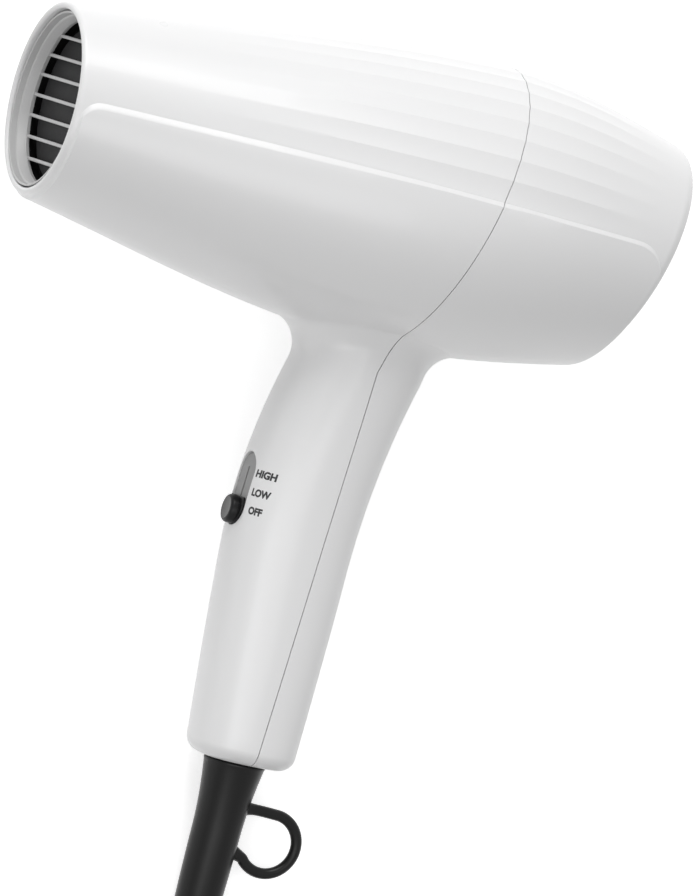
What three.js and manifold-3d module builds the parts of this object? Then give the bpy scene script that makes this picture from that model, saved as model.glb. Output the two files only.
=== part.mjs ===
// Hand-held hair dryer, lying on its side with its cord put away in a coil.
// Sizes are in millimetres. The dryer is drawn upright in its own frame: +X runs along the barrel from
// the nozzle to the intake, +Z runs up the handle, and Y crosses the body. It is then laid on its side.
import * as THREE from 'three';
import { mergeVertices } from 'three/addons/utils/BufferGeometryUtils.js';
import Module from 'manifold-3d';

const wasm = await Module();
wasm.setup();

const { PI, sin, cos, tan, atan2, sign, abs, sqrt } = Math;
const degrees = PI / 180;
const vec = (x, y, z) => new THREE.Vector3(x, y, z);

// ---- driving dimensions ----
const clearance = 0.3; // between pieces that seat on each other
const partingGap = 0.3; // joint line between the two housings
const wall = 2.2; // moulded housing wall

const nozzleRadius = 28.6;
const seamDistance = 129; // nozzle rim to the housing joint, along the barrel
const seamRadius = 43.8;
const seamDrop = 3.9; // the barrel's centre line sinks this far below the nozzle's centre
const seamLean = 14.4 * degrees; // the joint's top leans towards the intake
const swellStart = 1.18; // how steeply the barrel widens behind the nozzle
const rimDistance = 186.9; // nozzle rim to the rear shoulder
const rimRadius = 35.2;
const rimDrop = 6.4;
const shoulderRadius = 4.8;
const lipRound = 0.7;
const endWall = 2.6; // moulded wall of the rear face

const flutesPerSide = 9.5; // scallops from the top line down to the crease
const fluteDepth = 0.5;
const fluteStart = 50;
const fluteFull = 110;
const fluteFade = 161;
const creaseFront = 2.2; // height of the crease at the nozzle
const creaseRear = -0.1; // and at the shoulder
const creaseStep = 0.8; // the lower panel stands this proud
const creaseBand = 2.3; // height of the bevel between the two
const panelStart = 2.8; // where the lower panel rises behind the lip
const panelRamp = 2.2;

const handleBottom = -177;
const handleSetback = 21.1; // the grip's middle stands this far ahead of the joint at its bottom
const handleCentre = seamDistance - handleSetback;
const handleLean = 0.017; // forwards, going up
const handleRise = 60; // above this height the grip sweeps rearward
const handleSweep = 0.0025;
const handleNeck = -56; // above this the grip runs straight up into the barrel
const gripLower = 15.5; // half width at the bottom, front to back
const gripGain = 3.9; // added towards the neck
const gripSpan = 97;
const gripThickenSpan = 105;
const gripThickness = 15.4; // half thickness at the bottom
const gripThicken = 1.6;
const gripSquareness = 2.5; // superellipse power of the section
const handleCorner = 4.5;
const neckFillet = 13;
const seamHeightLow = -44; // the barrel's joint line turns into the handle's below this height
const handleSeamStep = 3.7; // and runs this far forward on the way
const handleSeamSlope = 0.063;

const slotWidth = 12;
const slotLength = 22.5;
const slotTop = -87;
const knobRadius = 4.25;
const knobReach = 2.4; // stands out of the handle
const knobBaseTop = 2.9; // the knob's round base is cut off level this far above its middle
const knobTravel = slotLength - slotWidth; // OFF to HIGH
const bezelRecess = 1;
const bezelFlange = 1.2;
const wallFall = 0.9; // how far the curved wall falls back beside the slot
const switchHalf = vec(5.8, 6.5, 13.5); // half sizes of the switch body
const switchRib = 1.6; // ribs that hold the switch body
const lugPitch = 8; // between the switch body's three lugs
const lugHalf = vec(2.5, 2.4, 0.4);
const leverHalf = vec(1.9, 2.6, 3);
const stemHalf = vec(1.7, 0.6, 1.2); // the part of the knob's stem that sits in the lever
const capEdge = 0.5; // bevel round the knob's cap

const bossRadius = 3.4;
const upperScrewHeight = -67;
const lowerScrewHeight = -140;
const screwRadius = 1.3;
const screwHeadRadius = 2.6;
const screwHeadHeight = 1.8;
const screwGrip = 2.6; // plastic under the head
const screwBite = 9;

const grilleDepth = 6; // outlet grille behind the lip
const grilleThickness = 3.6;
const grilleOpening = 24.4;
const grilleBars = 7;
const grillePitch = 6.14;
const grilleBarHeight = 1.3;
const barOverlap = 1; // each bar runs this far into the rim

const heaterRadius = 25;
const heaterWall = 0.9;
const heaterLength = 92;
const boardThickness = 0.9;
const windingInset = 2.8; // the boards are cut back to carry the wire
const windingTurns = 7;
const windingWire = 0.6;
const windingMargin = 8;
const thermostatSize = vec(6, 3, 8);
const fuseRadius = 1.5;
const fuseLength = 9;

const motorRadius = 13.8;
const motorLength = 32;
const motorBoss = 4.5;
const cupWall = 1.8;
const ductRoom = 9.4; // between the duct and the barrel's skin
const ductRadius = seamRadius - ductRoom;
const ductWall = 1.7;
const statorVanes = 7;
const vaneThickness = 1.5;
const shaftRadius = 1.2;
const fanBlades = 9;
const fanHubRadius = 15.5;
const fanLength = 15;
const fanTipGap = 0.9;
const fanAngle = 38 * degrees;
const bladeThickness = 1.4;

const intakeRadius = 26; // radius of the intake grille
const intakeThickness = 1.8;
const intakeLedge = 2; // width of the ledge that it rests on
const intakeSeat = intakeThickness + clearance; // depth of the seat in the rear face
const intakeDome = 2.4;
const intakeRings = 4;
const intakeArches = 3;
const intakeRib = 1.3;
const screenBars = 4;
const screenBar = 0.7;
const screenThickness = 0.9;
const screenDepth = 3;
const screenRim = 1.6;

const reliefRadius = 9.3; // strain relief at the handle
const reliefWaistRadius = 7.3;
const reliefWaist = 22; // distance below the handle where its flare ends
const reliefMidRadius = 6.9;
const reliefMid = 42;
const reliefEndRadius = 5.4;
const reliefLean = 0.025; // it hangs forwards by this much of its length
const reliefLength = 55;
const reliefNeck = 7.6;
const reliefFlange = 2.4;
const reliefCentre = handleCentre - 0.9;
const loopRadius = 8.9; // hanging loop, to the middle of its wire
const loopWire = 1.65;
const loopOut = 17; // loop centre behind the strain relief's axis
const loopDown = 22.3;
const clampHeight = 6;
const wireRadius = 1.1;
const leadTurns = [17, 7, 1]; // below the heater, where the inner leads turn forwards

const cordDiameter = 6.8;
const coilPitch = 7.3; // turn to turn and layer to layer
const coilInner = 28.6; // innermost turn, to the middle of the cord
const coilTurns = 3.25; // in each of the two layers
const coilDip = 1.3;
const coilSteps = 24;
const tieThickness = 0.6;
const tieWidth = 9;
const tieAngle = 300 * degrees;
const tailLength = 46;

const plugLength = 52;
const plugHeight = 34;
const plugDepth = 26;
const plugCorner = 5;
const plugCoverDepth = 8;
const plugReliefLength = 24;
const plugReliefRadius = 6.4;
const bladeLength = 17.5;
const bladeWidth = 6.35;
const bladeGauge = 1.5;
const bladeSpacing = 12.7;
const bladeRoot = 6;
const bladeShare = 0.6; // where the blades stand along the plug
const buttonLength = 9;
const buttonHeight = 6;
const buttonPitch = 16;
const buttonProud = 1.6;
const buttonTravel = 1.2;
const buttonBody = 4;

// ---- finishes: colour, roughness, metalness, and density in grams per cubic millimetre ----
function finish(colour, roughness, metalness, density) {
  const material = new THREE.MeshStandardMaterial({ color: colour, roughness, metalness });
  material.userData.density = density;
  return material;
}
const whiteShell = finish(0xf3f4f5, 0.2, 0, 0.0011);
const greyPlastic = finish(0x9a9a9a, 0.45, 0, 0.0011);
const darkPlastic = finish(0x3a3a3c, 0.4, 0, 0.0011);
const blackPlastic = finish(0x222224, 0.35, 0, 0.0011);
const blackRubber = finish(0x262627, 0.5, 0, 0.0012);
const mica = finish(0xb9a98a, 0.7, 0, 0.0023);
const steel = finish(0xb4b6b8, 0.35, 1, 0.00785);
const resistanceWire = finish(0x8d8a84, 0.4, 1, 0.00785);
const brass = finish(0xc8a45a, 0.3, 1, 0.0085);
const redWire = finish(0x9c2b25, 0.5, 0, 0.0012);
const whiteWire = finish(0xe6e4df, 0.5, 0, 0.0012);

// ---- solids ----
// Merges a closed geometry's vertices, drops its collapsed triangles and turns it outwards.
function solid(geometry) {
  const bare = geometry.clone();
  bare.deleteAttribute('normal');
  bare.deleteAttribute('uv');
  const merged = mergeVertices(bare, 1e-4);
  const p = merged.attributes.position.array;
  const triangles = [];
  let volume = 0;
  for (let i = 0; i < merged.index.count; i += 3) {
    const [a, b, c] = [0, 1, 2].map((k) => merged.index.getX(i + k));
    if (a === b || b === c || c === a) continue;
    triangles.push(a, b, c);
    const corner = [a, b, c].map((v) => vec(p[3 * v], p[3 * v + 1], p[3 * v + 2]));
    volume += corner[0].dot(corner[1].cross(corner[2]));
  }
  if (volume < 0) triangles.reverse();
  return new wasm.Manifold(new wasm.Mesh({
    numProp: 3,
    vertProperties: Float32Array.from(p),
    triVerts: Uint32Array.from(triangles),
  }));
}

const join = (...geometries) => geometries.map(asSolid).reduce((sum, next) => sum.add(next));
const cut = (body, ...tools) => tools.map(asSolid).reduce((rest, tool) => rest.subtract(tool), asSolid(body));
const common = (body, other) => asSolid(body).intersect(asSolid(other));

function asSolid(shape) {
  return shape.isBufferGeometry ? solid(shape) : shape;
}

function meshOf(name, shape, material) {
  const raw = asSolid(shape).getMesh();
  const geometry = new THREE.BufferGeometry();
  const positions = new Float32Array(3 * raw.numVert);
  for (let v = 0; v < raw.numVert; v++) {
    for (let k = 0; k < 3; k++) positions[3 * v + k] = raw.vertProperties[v * raw.numProp + k];
  }
  geometry.setAttribute('position', new THREE.BufferAttribute(positions, 3));
  geometry.setIndex(new THREE.BufferAttribute(raw.triVerts, 1));
  geometry.computeVertexNormals();
  const mesh = new THREE.Mesh(geometry, material);
  mesh.name = name;
  return mesh;
}

// Skins rings of equal length into a closed body with fanned ends.
function loft(rings) {
  const count = rings[0].length;
  const points = rings.flat();
  const index = [];
  for (let r = 0; r < rings.length - 1; r++) {
    for (let i = 0; i < count; i++) {
      const a = r * count + i;
      const b = r * count + (i + 1) % count;
      index.push(a, b, b + count, a, b + count, a + count);
    }
  }
  for (const end of [0, rings.length - 1]) {
    const middle = rings[end].reduce((sum, p) => sum.add(p), vec(0, 0, 0)).divideScalar(count);
    points.push(middle);
    for (let i = 0; i < count; i++) {
      const edge = [end * count + i, end * count + (i + 1) % count];
      if (end === 0) edge.reverse();
      index.push(...edge, points.length - 1);
    }
  }
  const geometry = new THREE.BufferGeometry().setFromPoints(points);
  return geometry.setIndex(index);
}

// Turns an outline of [along, radius] points about the X axis.
function turned(outline, segments) {
  const onAxis = outline[0][1] === 0 && outline.at(-1)[1] === 0;
  const closed = onAxis ? outline : [...outline, outline[0]];
  const profile = closed.map(([along, radius]) => new THREE.Vector2(radius, along));
  return new THREE.LatheGeometry(profile, segments).rotateZ(-PI / 2);
}

function ringOf(from, to, inner, outer, segments) {
  return turned([[from, inner], [from, outer], [to, outer], [to, inner]], segments);
}

function rod(from, to, radius, segments) {
  return turned([[from, 0], [from, radius], [to, radius], [to, 0]], segments);
}

function block(low, high) {
  const size = high.clone().sub(low);
  const middle = high.clone().add(low).divideScalar(2);
  return new THREE.BoxGeometry(size.x, size.y, size.z).translate(middle.x, middle.y, middle.z);
}

// Extrudes a side-view outline of [x, z] points across the body, from y = -half to y = half.
function slab(outline, half) {
  const shape = new THREE.Shape(outline.map(([x, z]) => new THREE.Vector2(x, z)));
  const geometry = new THREE.ExtrudeGeometry(shape, { depth: 2 * half, bevelEnabled: false });
  return geometry.rotateX(PI / 2).translate(0, half, 0);
}

// A round tube along a smooth curve through the given points.
function tubeAlong(points, radius, sides, steps) {
  const section = new THREE.Shape();
  for (let i = 0; i < sides; i++) {
    const angle = (i / sides) * 2 * PI;
    const [x, y] = [radius * cos(angle), radius * sin(angle)];
    if (i === 0) section.moveTo(x, y);
    else section.lineTo(x, y);
  }
  section.closePath();
  const path = new THREE.CatmullRomCurve3(points, false, 'centripetal');
  return new THREE.ExtrudeGeometry(section, { steps, bevelEnabled: false, extrudePath: path });
}

const smooth = (from, to, x) => THREE.MathUtils.smoothstep(x, from, to);

// ---- barrel ----
// Middle height, vertical half height and lean of the barrel's section at a distance from the rim.
function barrelSection(distance) {
  if (distance < seamDistance) {
    const s = distance / seamDistance;
    const swell = swellStart * s + (3 - 2 * swellStart) * s * s + (swellStart - 2) * s ** 3;
    return {
      middle: -seamDrop * sin((PI / 2) * s),
      radius: nozzleRadius + (seamRadius - nozzleRadius) * swell,
      lean: seamLean * s,
    };
  }
  const share = (distance - seamDistance) / (rimDistance - seamDistance);
  return {
    middle: -seamDrop - (rimDrop - seamDrop) * share,
    radius: seamRadius - (seamRadius - rimRadius) * (1 - cos((PI / 2) * share)),
    lean: seamLean,
  };
}

// A point of the barrel's skin; angle runs from the top line round to the underside.
function barrelPoint(distance, angle, offset) {
  const { middle, radius, lean } = barrelSection(distance);
  const r = radius + offset;
  return vec(distance + r * cos(angle) * tan(lean), r * sin(angle), middle + r * cos(angle));
}

function creaseAngle(distance) {
  const { middle, radius } = barrelSection(distance);
  const height = creaseFront + (creaseRear - creaseFront) * (distance / rimDistance);
  return Math.acos((height - middle) / radius);
}

// One side of a barrel ring as [angle, offset] pairs: flutes above the crease, the proud panel below it.
function barrelColumns(distance) {
  const halfFlutes = 2 * flutesPerSide;
  const lowerSteps = 9;
  const crease = creaseAngle(distance);
  const band = creaseBand / barrelSection(distance).radius;
  const fluteShare = smooth(fluteStart, fluteFull, distance) * (1 - smooth(fluteFade, rimDistance, distance));
  const panelShare = THREE.MathUtils.clamp((distance - panelStart) / panelRamp, 0, 1);
  const columns = [];
  for (let i = 0; i <= halfFlutes; i++) {
    const valley = i % 2 === 0 ? fluteDepth * fluteShare : 0;
    columns.push([(crease * i) / halfFlutes, -valley]);
  }
  for (let i = 0; i <= lowerSteps; i++) {
    const angle = crease + band + (PI - crease - band) * (i / lowerSteps);
    columns.push([angle, creaseStep * panelShare]);
  }
  return columns;
}

function mirrored(side) {
  const back = side.slice(1, -1).reverse().map((p) => vec(p.x, -p.y, p.z));
  return [...side, ...back];
}

function barrelRing(distance) {
  return mirrored(barrelColumns(distance).map(([angle, offset]) => barrelPoint(distance, angle, offset)));
}

// The rounded shoulder: the rim ring carried inwards and rearwards on an arc that starts along the skin.
const faceNormal = vec(cos(seamLean), 0, -sin(seamLean));
const rimTaper = atan2((seamRadius - rimRadius) * (PI / 2), rimDistance - seamDistance);
const centreFall = atan2(rimDrop - seamDrop, rimDistance - seamDistance);
function shoulderRing(share) {
  const side = barrelColumns(rimDistance).map(([angle, offset]) => {
    const start = rimTaper - (seamLean - centreFall) * cos(angle);
    const turn = start + (PI / 2 - start) * share;
    const inward = shoulderRadius * (cos(start) - cos(turn)) + offset * share;
    const rearward = shoulderRadius * (sin(turn) - sin(start));
    return barrelPoint(rimDistance, angle, offset - inward).addScaledVector(faceNormal, rearward);
  });
  return mirrored(side);
}

function barrelBody() {
  const lip = barrelColumns(0).map(([angle]) => barrelPoint(0, angle, -lipRound));
  const front = [0.2, 0.385, 0.57, 0.74, 0.875, 1].map((share) => seamDistance * share);
  const rear = [0.22, 0.46, 0.72, 1].map((share) => seamDistance + (rimDistance - seamDistance) * share);
  const stations = [lipRound, panelStart, panelStart + panelRamp, ...front, ...rear];
  const rings = [mirrored(lip), ...stations.map(barrelRing)];
  return loft([...rings, ...[0.35, 0.7, 1].map(shoulderRing)]);
}

// The air passage inside the barrel, drawn inset from the skin and running out through the nozzle.
function barrelHollow(inset) {
  const front = [0.1, 0.28, 0.46, 0.64, 0.82, 1].map((share) => seamDistance * share);
  const rear = [0.3, 0.6].map((share) => seamDistance + (rimDistance - seamDistance) * share);
  const stations = [-2, ...front, ...rear, rimDistance - endWall];
  const segments = 32;
  return loft(stations.map((distance) => Array.from({ length: segments }, (_, i) => {
    const onSkin = Math.max(distance, 0);
    return barrelPoint(onSkin, (i / segments) * 2 * PI, -inset).add(vec(distance - onSkin, 0, 0));
  })));
}

// ---- handle ----
function handleSection(height) {
  const rise = Math.min(height, handleNeck) - handleBottom;
  const bend = Math.max(0, rise - handleRise);
  return {
    centre: handleCentre - handleLean * rise + handleSweep * bend * bend,
    across: gripLower + gripGain * sin((PI / 2) * Math.min(1, rise / gripSpan)),
    half: gripThickness + gripThicken * Math.min(1, rise / gripThickenSpan),
  };
}

// A point of the grip's section and its outward normal; inset draws it in along that normal.
function handlePoint(height, angle, inset) {
  const { centre, across, half } = handleSection(height);
  const [c, s] = [cos(angle), sin(angle)];
  const power = 2 / gripSquareness;
  const x = across * sign(c) * abs(c) ** power;
  const y = half * sign(s) * abs(s) ** power;
  const normal = vec(
    sign(c) * abs(c) ** (2 - power) / across,
    sign(s) * abs(s) ** (2 - power) / half,
    0,
  ).normalize();
  return { point: vec(centre + x, y, height).addScaledVector(normal, -inset), normal };
}

// One upright line of the handle's skin: corner, grip, then the arc of a ball that rolls round the neck
// touching both grip and barrel, and last a point inside the barrel.
function handleColumn(angle, settings) {
  const { gripSteps, filletSteps } = settings;
  const points = [];
  for (const turn of [0, 0.5, 1]) {
    const corner = handleCorner * (1 - sin((PI / 2) * turn));
    const height = handleBottom + handleCorner * (1 - cos((PI / 2) * turn));
    points.push(handlePoint(height, angle, corner).point);
  }
  let ballHeight = -seamRadius - neckFillet;
  let ball;
  for (let pass = 0; pass < 4; pass++) {
    const { point, normal } = handlePoint(ballHeight, angle, 0);
    ball = point.addScaledVector(normal, neckFillet);
    const { middle, radius } = barrelSection(ball.x);
    ballHeight = middle - sqrt((radius + creaseStep + neckFillet) ** 2 - ball.y ** 2);
  }
  const low = handleBottom + handleCorner;
  for (let i = 1; i < gripSteps; i++) {
    points.push(handlePoint(low + (ballHeight - low) * (i / gripSteps), angle, 0).point);
  }
  const { normal } = handlePoint(ballHeight, angle, 0);
  const { middle } = barrelSection(ball.x);
  ball.z = ballHeight;
  const start = normal.clone().negate();
  const end = vec(0, -ball.y, middle - ballHeight).normalize();
  const spread = start.angleTo(end);
  for (let i = 0; i <= filletSteps; i++) {
    const share = i / filletSteps;
    const direction = start.clone().multiplyScalar(sin((1 - share) * spread))
      .addScaledVector(end, sin(share * spread)).divideScalar(sin(spread));
    points.push(ball.clone().addScaledVector(direction, neckFillet));
  }
  points.push(ball.clone().addScaledVector(end, neckFillet + wall));
  return points;
}

function handleBody() {
  const sides = 32;
  const columns = Array.from({ length: sides }, (_, i) => (
    handleColumn((i / sides) * 2 * PI, { gripSteps: 7, filletSteps: 5 })));
  return loft(columns[0].map((_, row) => columns.map((column) => column[row])));
}

function handleHollow(inset) {
  const sides = 24;
  const levels = [0, 0.2, 0.4, 0.6, 0.8, 1].map((share) => (
    handleBottom + inset + share * (-seamDrop - 25 - handleBottom - inset)));
  return loft(levels.map((height) => Array.from({ length: sides }, (_, i) => (
    handlePoint(height, (i / sides) * 2 * PI, inset).point))));
}

// ---- the joint between the housings, as a side-view line from top to bottom ----
const seamAt = (height) => seamDistance + (height + seamDrop) * tan(seamLean);
const handleSeamTop = seamAt(seamHeightLow) - handleSeamStep;
const handleSeamAt = (height) => handleSeamTop + (height - handleNeck) * handleSeamSlope;
function seamLine(shift) {
  const reach = 260;
  return [
    [seamAt(reach) + shift, reach],
    [seamAt(seamHeightLow) + shift, seamHeightLow],
    [handleSeamTop + shift, handleNeck],
    [handleSeamAt(-reach) + shift, -reach],
  ];
}
const frontHalf = () => slab([...seamLine(-partingGap / 2), [-90, -260], [-90, 260]], 90);
const rearHalf = () => slab([...seamLine(partingGap / 2), [330, -260], [330, 260]], 90);

// ---- the switch's own frame: x inwards from the grip's front, z along the slide ----
const slotMiddle = slotTop - slotLength / 2;
const frontOf = (height) => handlePoint(height, PI, 0).point;
const slotUpper = frontOf(slotTop);
const slotLower = frontOf(slotTop - slotLength);
const slideLean = atan2(slotUpper.x - slotLower.x, slotUpper.z - slotLower.z);
const switchPlace = frontOf(slotMiddle);
const knobRest = -knobTravel / 2; // middle of the knob's base in this frame, switched off
function toSwitch(geometry) {
  return geometry.rotateY(slideLean).translate(switchPlace.x, switchPlace.y, switchPlace.z);
}

// A plate with round ends, in the switch's frame.
function stadium(width, length, from, to) {
  const shape = new THREE.Shape();
  const straight = (length - width) / 2;
  shape.absarc(straight, 0, width / 2, -PI / 2, PI / 2, false);
  shape.absarc(-straight, 0, width / 2, PI / 2, (3 * PI) / 2, false);
  const options = { depth: to - from, bevelEnabled: false, curveSegments: 10 };
  return new THREE.ExtrudeGeometry(shape, options).rotateY(PI / 2).translate(from, 0, 0);
}

const flangeBack = wall + wallFall + bezelFlange;
const bodyFront = flangeBack + clearance;

// ---- screws across the handle's joint ----
function screwAxis(height) {
  const seam = handleSeamAt(height);
  const rear = handlePoint(height, 0, 0).point.x;
  const front = handlePoint(height, PI, 0).point.x;
  return { seam, rear, front, seat: seam + partingGap / 2 + screwGrip };
}

function bossPair(height) {
  const { front, rear } = screwAxis(height);
  return rod(front + wall / 2, rear - wall / 2, bossRadius, 16).translate(0, 0, height);
}

function bossHoles(height) {
  const { seam, rear, seat } = screwAxis(height);
  const fit = screwRadius + clearance;
  const bore = rod(seam - screwBite - clearance, seat, fit, 12);
  const counterbore = rod(seat - 0.001, rear + 5, screwHeadRadius + clearance, 12);
  return [bore.translate(0, 0, height), counterbore.translate(0, 0, height)];
}

function screw(name, height) {
  const { seam, seat } = screwAxis(height);
  const tip = seam - screwBite;
  const head = seat + clearance;
  const outline = [
    [tip, 0], [tip + 1, screwRadius], [head, screwRadius], [head, screwHeadRadius],
    [head + screwHeadHeight / 2, screwHeadRadius], [head + screwHeadHeight, screwHeadRadius - 0.8],
    [head + screwHeadHeight, 0.9], [head + screwHeadHeight / 2, 0.9], [head + screwHeadHeight / 2, 0],
  ];
  return meshOf(name, turned(outline, 12).translate(0, 0, height), steel);
}

// ---- rear face: its middle lies on the shoulder's last ring ----
const faceMiddle = shoulderRing(1).reduce((sum, p) => sum.add(p), vec(0, 0, 0))
  .divideScalar(shoulderRing(1).length);
const toFace = (geometry) => geometry.rotateY(seamLean).translate(faceMiddle.x, faceMiddle.y, faceMiddle.z);

// ---- housings ----
function housings() {
  const skin = join(barrelBody(), handleBody());
  const hollow = join(barrelHollow(wall), handleHollow(wall));
  const bosses = join(bossPair(upperScrewHeight), bossPair(lowerScrewHeight));
  const ribLow = vec(wall, switchHalf.y + clearance, -switchHalf.z);
  const ribHigh = vec(bodyFront + switchHalf.x, ribLow.y + switchRib, switchHalf.z);
  const rib = (side) => toSwitch(block(ribLow, ribHigh).scale(1, side, 1));
  const reliefHole = rod(-wall - 3, wall + 3, reliefNeck + clearance, 28).rotateY(PI / 2)
    .translate(reliefCentre, 0, handleBottom);
  const slot = toSwitch(stadium(slotWidth, slotLength, -4, wall + 4));
  const seat = toFace(rod(-intakeSeat, 6, intakeRadius + clearance, 32));
  const mouth = toFace(rod(-30, 6, intakeRadius - intakeLedge, 32));
  let shell = cut(skin, hollow);
  shell = join(shell, common(join(bosses, rib(1), rib(-1)), skin));
  shell = cut(shell, ...bossHoles(upperScrewHeight), ...bossHoles(lowerScrewHeight));
  shell = cut(shell, reliefHole, slot, seat, mouth);
  return [
    meshOf('front_housing', common(shell, frontHalf()), whiteShell),
    meshOf('rear_housing', common(shell, rearHalf()), whiteShell),
  ];
}

// ---- switch ----
function switchParts() {
  const knobHigh = knobRest + knobTravel;
  const slitHalf = stemHalf.y + clearance;
  const slit = block(
    vec(-1, -slitHalf, knobRest - stemHalf.z - clearance),
    vec(bodyFront + 1, slitHalf, knobHigh + stemHalf.z + clearance),
  );
  const flange = block(vec(0, -switchHalf.y, -switchHalf.z), vec(flangeBack, switchHalf.y, switchHalf.z));
  const behindWall = handleHollow(wall + clearance)
    .translate(-switchPlace.x, -switchPlace.y, -switchPlace.z).rotateY(-slideLean);
  const plate = stadium(slotWidth - 2 * clearance, slotLength - 2 * clearance, bezelRecess, flangeBack);
  const bezel = cut(join(plate, common(flange, behindWall)), slit);
  const knobBase = bezelRecess - clearance;
  const baseRadius = slotWidth / 2 - clearance;
  const baseFront = 0; // the knob's base lies level with the handle's front
  const base = common(
    rod(baseFront, knobBase, baseRadius, 28),
    block(vec(-1, -baseRadius, -baseRadius), vec(bezelFlange, baseRadius, knobBaseTop)),
  );
  const cap = turned([
    [-knobReach, 0], [-knobReach, knobRadius - capEdge], [-knobReach + capEdge, knobRadius],
    [knobBase, knobRadius], [knobBase, 0],
  ], 24).translate(0, 0, (knobBaseTop - baseRadius) / 2);
  const stem = block(
    vec(baseFront, -stemHalf.y, knobRest - stemHalf.z),
    vec(bodyFront + 2 * stemHalf.x, stemHalf.y, knobRest + stemHalf.z),
  );
  const leverBlock = block(
    vec(bodyFront, -leverHalf.y, knobRest - leverHalf.z),
    vec(bodyFront + 2 * leverHalf.x, leverHalf.y, knobRest + leverHalf.z),
  );
  const stemHole = block(
    vec(bodyFront - 1, -slitHalf, knobRest - stemHalf.z - clearance),
    vec(bodyFront + 2 * leverHalf.x + 1, slitHalf, knobRest + stemHalf.z + clearance),
  );
  const track = block(
    vec(bodyFront - 1, -leverHalf.y - clearance, knobRest - leverHalf.z - clearance),
    vec(bodyFront + 2 * leverHalf.x + clearance, leverHalf.y + clearance, knobHigh + leverHalf.z + clearance),
  );
  const bodyBack = bodyFront + 2 * switchHalf.x;
  const lugs = [-lugPitch, 0, lugPitch].map((height) => block(
    vec(bodyBack - 1, -lugHalf.y, height - lugHalf.z),
    vec(bodyBack + 2 * lugHalf.x, lugHalf.y, height + lugHalf.z),
  ));
  const body = block(
    vec(bodyFront, -switchHalf.y, -switchHalf.z),
    vec(bodyBack, switchHalf.y, switchHalf.z),
  );
  const place = (name, shape, material) => {
    const mesh = meshOf(name, shape, material);
    mesh.rotation.y = slideLean;
    mesh.position.copy(switchPlace);
    return mesh;
  };
  return [
    place('switch_bezel', bezel, greyPlastic),
    place('switch_knob', join(join(base, cap).translate(0, 0, knobRest), stem), blackPlastic),
    place('switch_lever', cut(leverBlock, stemHole), greyPlastic),
    place('switch_body', cut(join(body, ...lugs), track), darkPlastic),
  ];
}

// ---- air unit: everything on the blower's axis, drawn level and then tipped with the barrel ----
const airTilt = atan2(rimDrop, rimDistance);
const toAir = (geometry) => geometry.rotateY(airTilt);
const heaterStart = grilleDepth + grilleThickness + clearance;
const heaterEnd = heaterStart + heaterLength;
const boardStart = heaterStart + 1;
const boardEnd = heaterEnd - 1;
const motorStart = heaterEnd + 5;
const motorEnd = motorStart + motorLength;
const fanStart = motorEnd + cupWall + 2 * clearance + 0.6;
const fanEnd = fanStart + fanLength;

// What fits inside the housings with the seating clearance, in the air unit's frame.
function airFit() {
  return barrelHollow(wall + clearance).rotateY(-airTilt);
}

function outletGrille() {
  const back = grilleDepth + grilleThickness;
  const rim = common(ringOf(grilleDepth, back, grilleOpening, nozzleRadius + 6, 40), airFit());
  const bars = [];
  for (let i = 0; i < grilleBars; i++) {
    const height = (i - (grilleBars - 1) / 2) * grillePitch;
    const reach = sqrt((grilleOpening + barOverlap) ** 2 - height ** 2);
    bars.push(block(vec(grilleDepth, -reach, height - grilleBarHeight / 2),
      vec(back, reach, height + grilleBarHeight / 2)));
  }
  return meshOf('outlet_grille', join(rim, ...bars), greyPlastic);
}

function heaterTube() {
  const tube = ringOf(heaterStart, heaterEnd, heaterRadius - heaterWall, heaterRadius, 40);
  return meshOf('heater_tube', tube, mica);
}

const boardHalf = heaterRadius - heaterWall - clearance;
const windingHalf = boardHalf - windingInset;
// A mica board: tall at its ends, cut back between them for the wire, and half lapped with its pair.
function micaBoard(name, slotFrom, slotTo, roll) {
  const outline = [
    [boardStart, boardHalf], [boardStart, -boardHalf], [boardStart + windingMargin, -boardHalf],
    [boardStart + windingMargin, -windingHalf], [boardEnd - windingMargin, -windingHalf],
    [boardEnd - windingMargin, -boardHalf], [boardEnd, -boardHalf], [boardEnd, boardHalf],
    [boardEnd - windingMargin, boardHalf], [boardEnd - windingMargin, windingHalf],
    [boardStart + windingMargin, windingHalf], [boardStart + windingMargin, boardHalf],
  ];
  const gap = boardThickness / 2 + clearance;
  const lap = block(vec(slotFrom, -9, -gap), vec(slotTo, 9, gap));
  const board = meshOf(name, cut(slab(outline, boardThickness / 2), lap), mica);
  board.rotation.x = roll;
  return board;
}

// Resistance wire, stretched from one board's edge to the next in an octagonal helix.
function heaterCoil() {
  const stepsPerTurn = 8;
  const radius = windingHalf + clearance + windingWire + 0.3;
  const from = boardStart + windingMargin + 3;
  const length = boardEnd - windingMargin - 3 - from;
  const sides = 5;
  const rings = [];
  for (let i = 0; i <= windingTurns * stepsPerTurn; i++) {
    const angle = (i / stepsPerTurn) * 2 * PI;
    const outward = vec(0, sin(angle), cos(angle));
    const along = from + (length * i) / (windingTurns * stepsPerTurn);
    const middle = vec(along, 0, 0).addScaledVector(outward, radius);
    rings.push(Array.from({ length: sides }, (_, k) => {
      const turn = (k / sides) * 2 * PI;
      return middle.clone().addScaledVector(outward, windingWire * cos(turn))
        .add(vec(windingWire * sin(turn), 0, 0));
    }));
  }
  return meshOf('heater_coil', loft(rings), resistanceWire);
}

function heaterSafety() {
  const side = boardThickness / 2 + clearance;
  const at = boardEnd - windingMargin - thermostatSize.x;
  const corner = vec(at, side, 3);
  const thermostat = block(corner, corner.clone().add(thermostatSize));
  const fuse = rod(at - fuseLength - 6, at - 6, fuseRadius, 12).translate(0, side + fuseRadius, -9);
  return [meshOf('thermostat', thermostat, steel), meshOf('thermal_fuse', fuse, brass)];
}

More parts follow.
